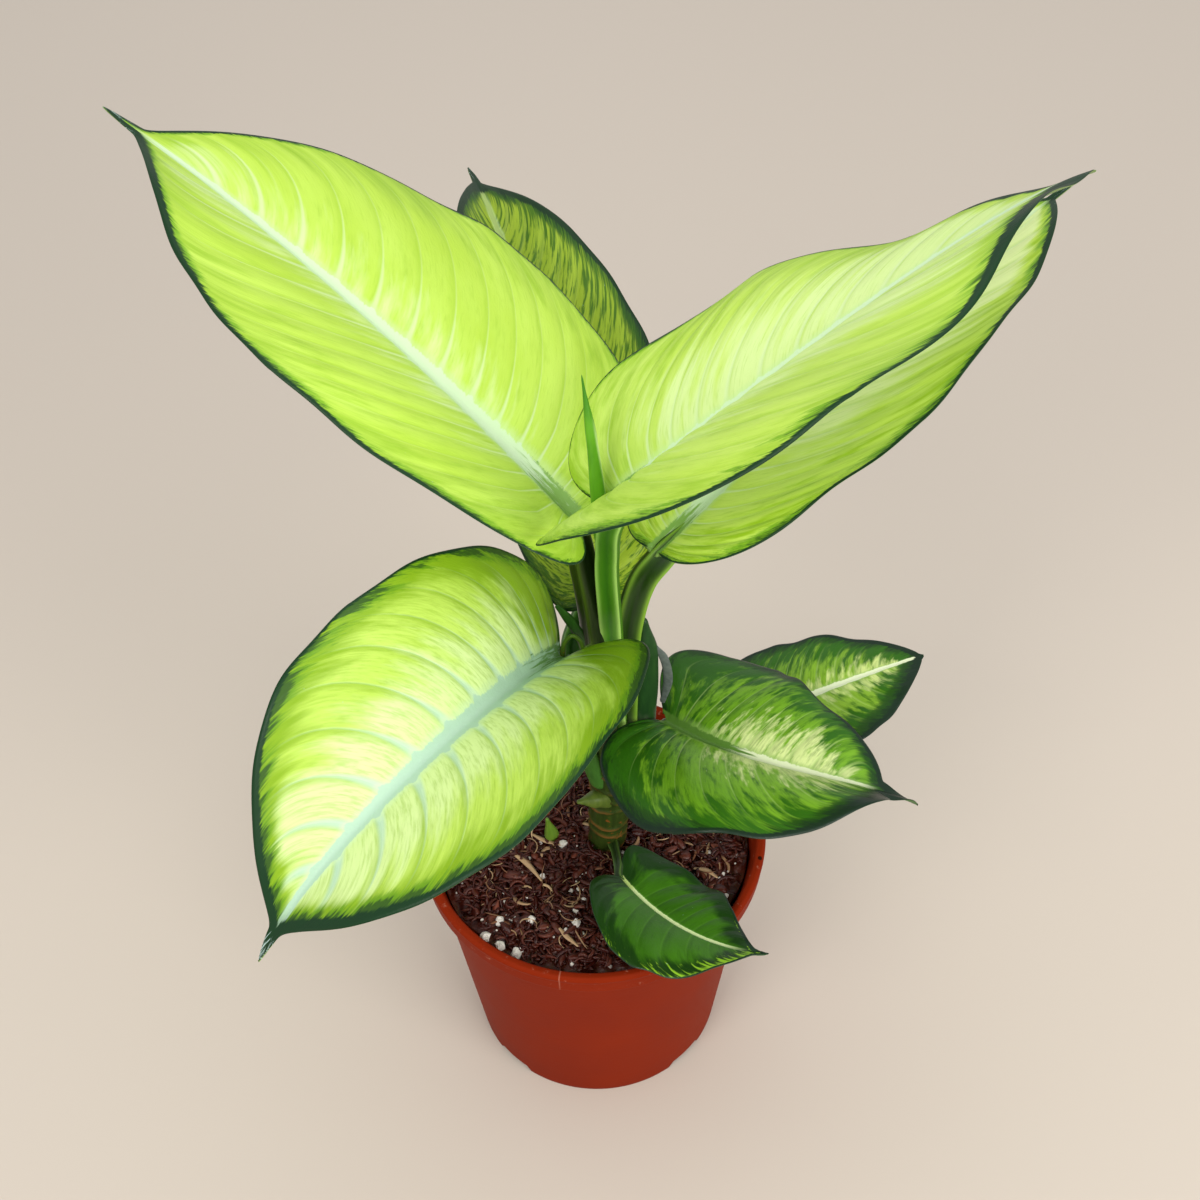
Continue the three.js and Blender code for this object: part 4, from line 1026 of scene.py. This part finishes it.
SHEATH_EAR = {
    "sheath_margin": (
        [(-10.5, -8, 286), (-5.5, -8, 276.5), (-1.5, -8, 266), (1, -6, 252)],
        (1.0, 2.0, 2.2, 2.4), thin_shape, ("#2f5a1a", "#14300c", "#4c6a34", 0.1)),
    "sheath_lip": (
        [(-9, -14, 263), (-7.8, -14, 271), (-4.9, -14, 275), (-2, -14, 272), (-0.8, -14.5, 268.5),
         (2.3, -14, 270.2)],
        (1.2, 0.9, 0.8, 0.8, 0.9, 0.2), plain_shape, ("#5c7a24", "#2c4a10", "#a8591c", 0.5)),
}

for name, (path, radii, shape, colours) in SHEATH_EAR.items():
    rings, angle, share = rod_rings(path, radii, TO_FRONT, shape, 80, 24)
    ear_points, ear_faces = ring_stack(rings)
    ear = mesh_piece(name, ear_points, ear_faces, [stem_skin(name + "_epidermis", *colours)])
    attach(ear, "root")

# ------------------------------------------------------------------ the spear
# The newest leaf, still rolled into a tight spike with a thread-like tip. The outer turn's
# pale edge winds down its right side.

SPEAR_PATH = [(8.5, -9.5, 312), (6.6, -12.6, 330), (6, -15, 352), (4.4, -10, 374), (1.8, -3, 396)]
SPEAR_RADII = (2.2, 2.6, 2.6, 1.9, 0.35)


def roll_turn(angle, s):
    """How far round the roll a point is: 0 at the outer edge, rising to 1 just before it."""
    return (angle / (2 * np.pi) + 0.35 * s + 0.79) % 1


def rolled_shape(angle, s):
    """The radius grows by a fifth over one turn, then steps back at the edge of the roll."""
    return 0.88 + 0.2 * roll_turn(angle, s)


rings, angle, share = rod_rings(SPEAR_PATH, SPEAR_RADII, OUTWARD, rolled_shape, 160, 64)
spear_points, spear_faces = ring_stack(rings)
pale_edge = smoothstep(0.84, 0.95, roll_turn(angle, share)) * smoothstep(0.85, 0.7, share)
thread = smoothstep(0.8, 0.95, share)
spear_skin = stem_skin("rolled_blade_epidermis", "#6fae28", "#3a7814", "#8fbf4a",
                       marks=0.2, ridge="#d6eda6", roughness=0.36, streak=25.0)
spear = mesh_piece("spear_rolled", spear_points, spear_faces, [spear_skin],
                   attributes={"crest": np.append(pale_edge, [0, 0]), "groove": np.append(thread, [0, 1])})
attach(spear, "root")
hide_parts("leaf_spear")

# ------------------------------------------------------------------ floor, light and camera
# A plain pale floor. Two soft lights stand in front, the stronger one on the right, a weak
# one hangs above, and the room around is bright. The camera stands where the photograph's did.

FLOOR_SIZE = 4.0
LIGHT_TARGET = Vector((0, 0, 0.22))
CAMERA_PLACE = (0.0059, -0.5001, 0.8449)
CAMERA_PITCH = 48.53
CAMERA_ROLL = -1.56
CAMERA_LENS = 60.0
SENSOR_WIDTH = 36.0
ROOM_COLOUR = (0.97, 0.98, 1.0, 1.0)
ROOM_STRENGTH = 0.75

corners = FLOOR_SIZE / MM / 2 * np.array([[-1, -1, 0], [1, -1, 0], [1, 1, 0], [-1, 1, 0]], float)
paper, add = new_material("pale_matt_paper")
sheet = add("BsdfPrincipled", {"Base Color": linear("#c6bbae"), "Roughness": 0.85})
add("OutputMaterial", {"Surface": sheet})
floor = mesh_piece("floor", corners, [np.array([[0, 1, 2, 3]])], [paper])

for name, place, size, power, colour in (
        ("key", (-0.7, -1.1, 1.35), 0.7, 12.5, (1.0, 0.97, 0.92)),
        ("front", (0.9, -1.1, 0.95), 1.0, 17.5, (1.0, 0.98, 0.95)),
        ("top", (0.1, 0.5, 1.7), 1.0, 4.0, (1.0, 1.0, 1.0))):
    lamp = bpy.data.lights.new(name, "AREA")
    lamp.size = size
    lamp.energy = power
    lamp.color = colour
    light = bpy.data.objects.new(name, lamp)
    aim = (LIGHT_TARGET - Vector(place)).to_track_quat("-Z", "Y").to_matrix().to_4x4()
    light.matrix_world = Matrix.Translation(place) @ aim
    bpy.context.scene.collection.objects.link(light)

world = bpy.data.worlds.new("soft_room")
world.use_nodes = True
background = world.node_tree.nodes["Background"]
background.inputs["Color"].default_value = ROOM_COLOUR
background.inputs["Strength"].default_value = ROOM_STRENGTH
bpy.context.scene.world = world

pitch, roll = np.radians(CAMERA_PITCH), np.radians(CAMERA_ROLL)
ahead = np.array([0, np.cos(pitch), -np.sin(pitch)])
level_right = np.array([1.0, 0, 0])
level_up = np.cross(level_right, ahead)
right = level_right * np.cos(roll) + level_up * np.sin(roll)
upward = level_up * np.cos(roll) - level_right * np.sin(roll)
lens = bpy.data.cameras.new("photo_view")
lens.lens = CAMERA_LENS
lens.sensor_width = SENSOR_WIDTH
camera = bpy.data.objects.new("photo_view", lens)
axes = np.column_stack([right, upward, -ahead, CAMERA_PLACE])
camera.matrix_world = Matrix(np.vstack([axes, [0, 0, 0, 1]]).tolist())
bpy.context.scene.collection.objects.link(camera)
bpy.context.scene.camera = camera
bpy.context.scene.view_settings.view_transform = "Standard"
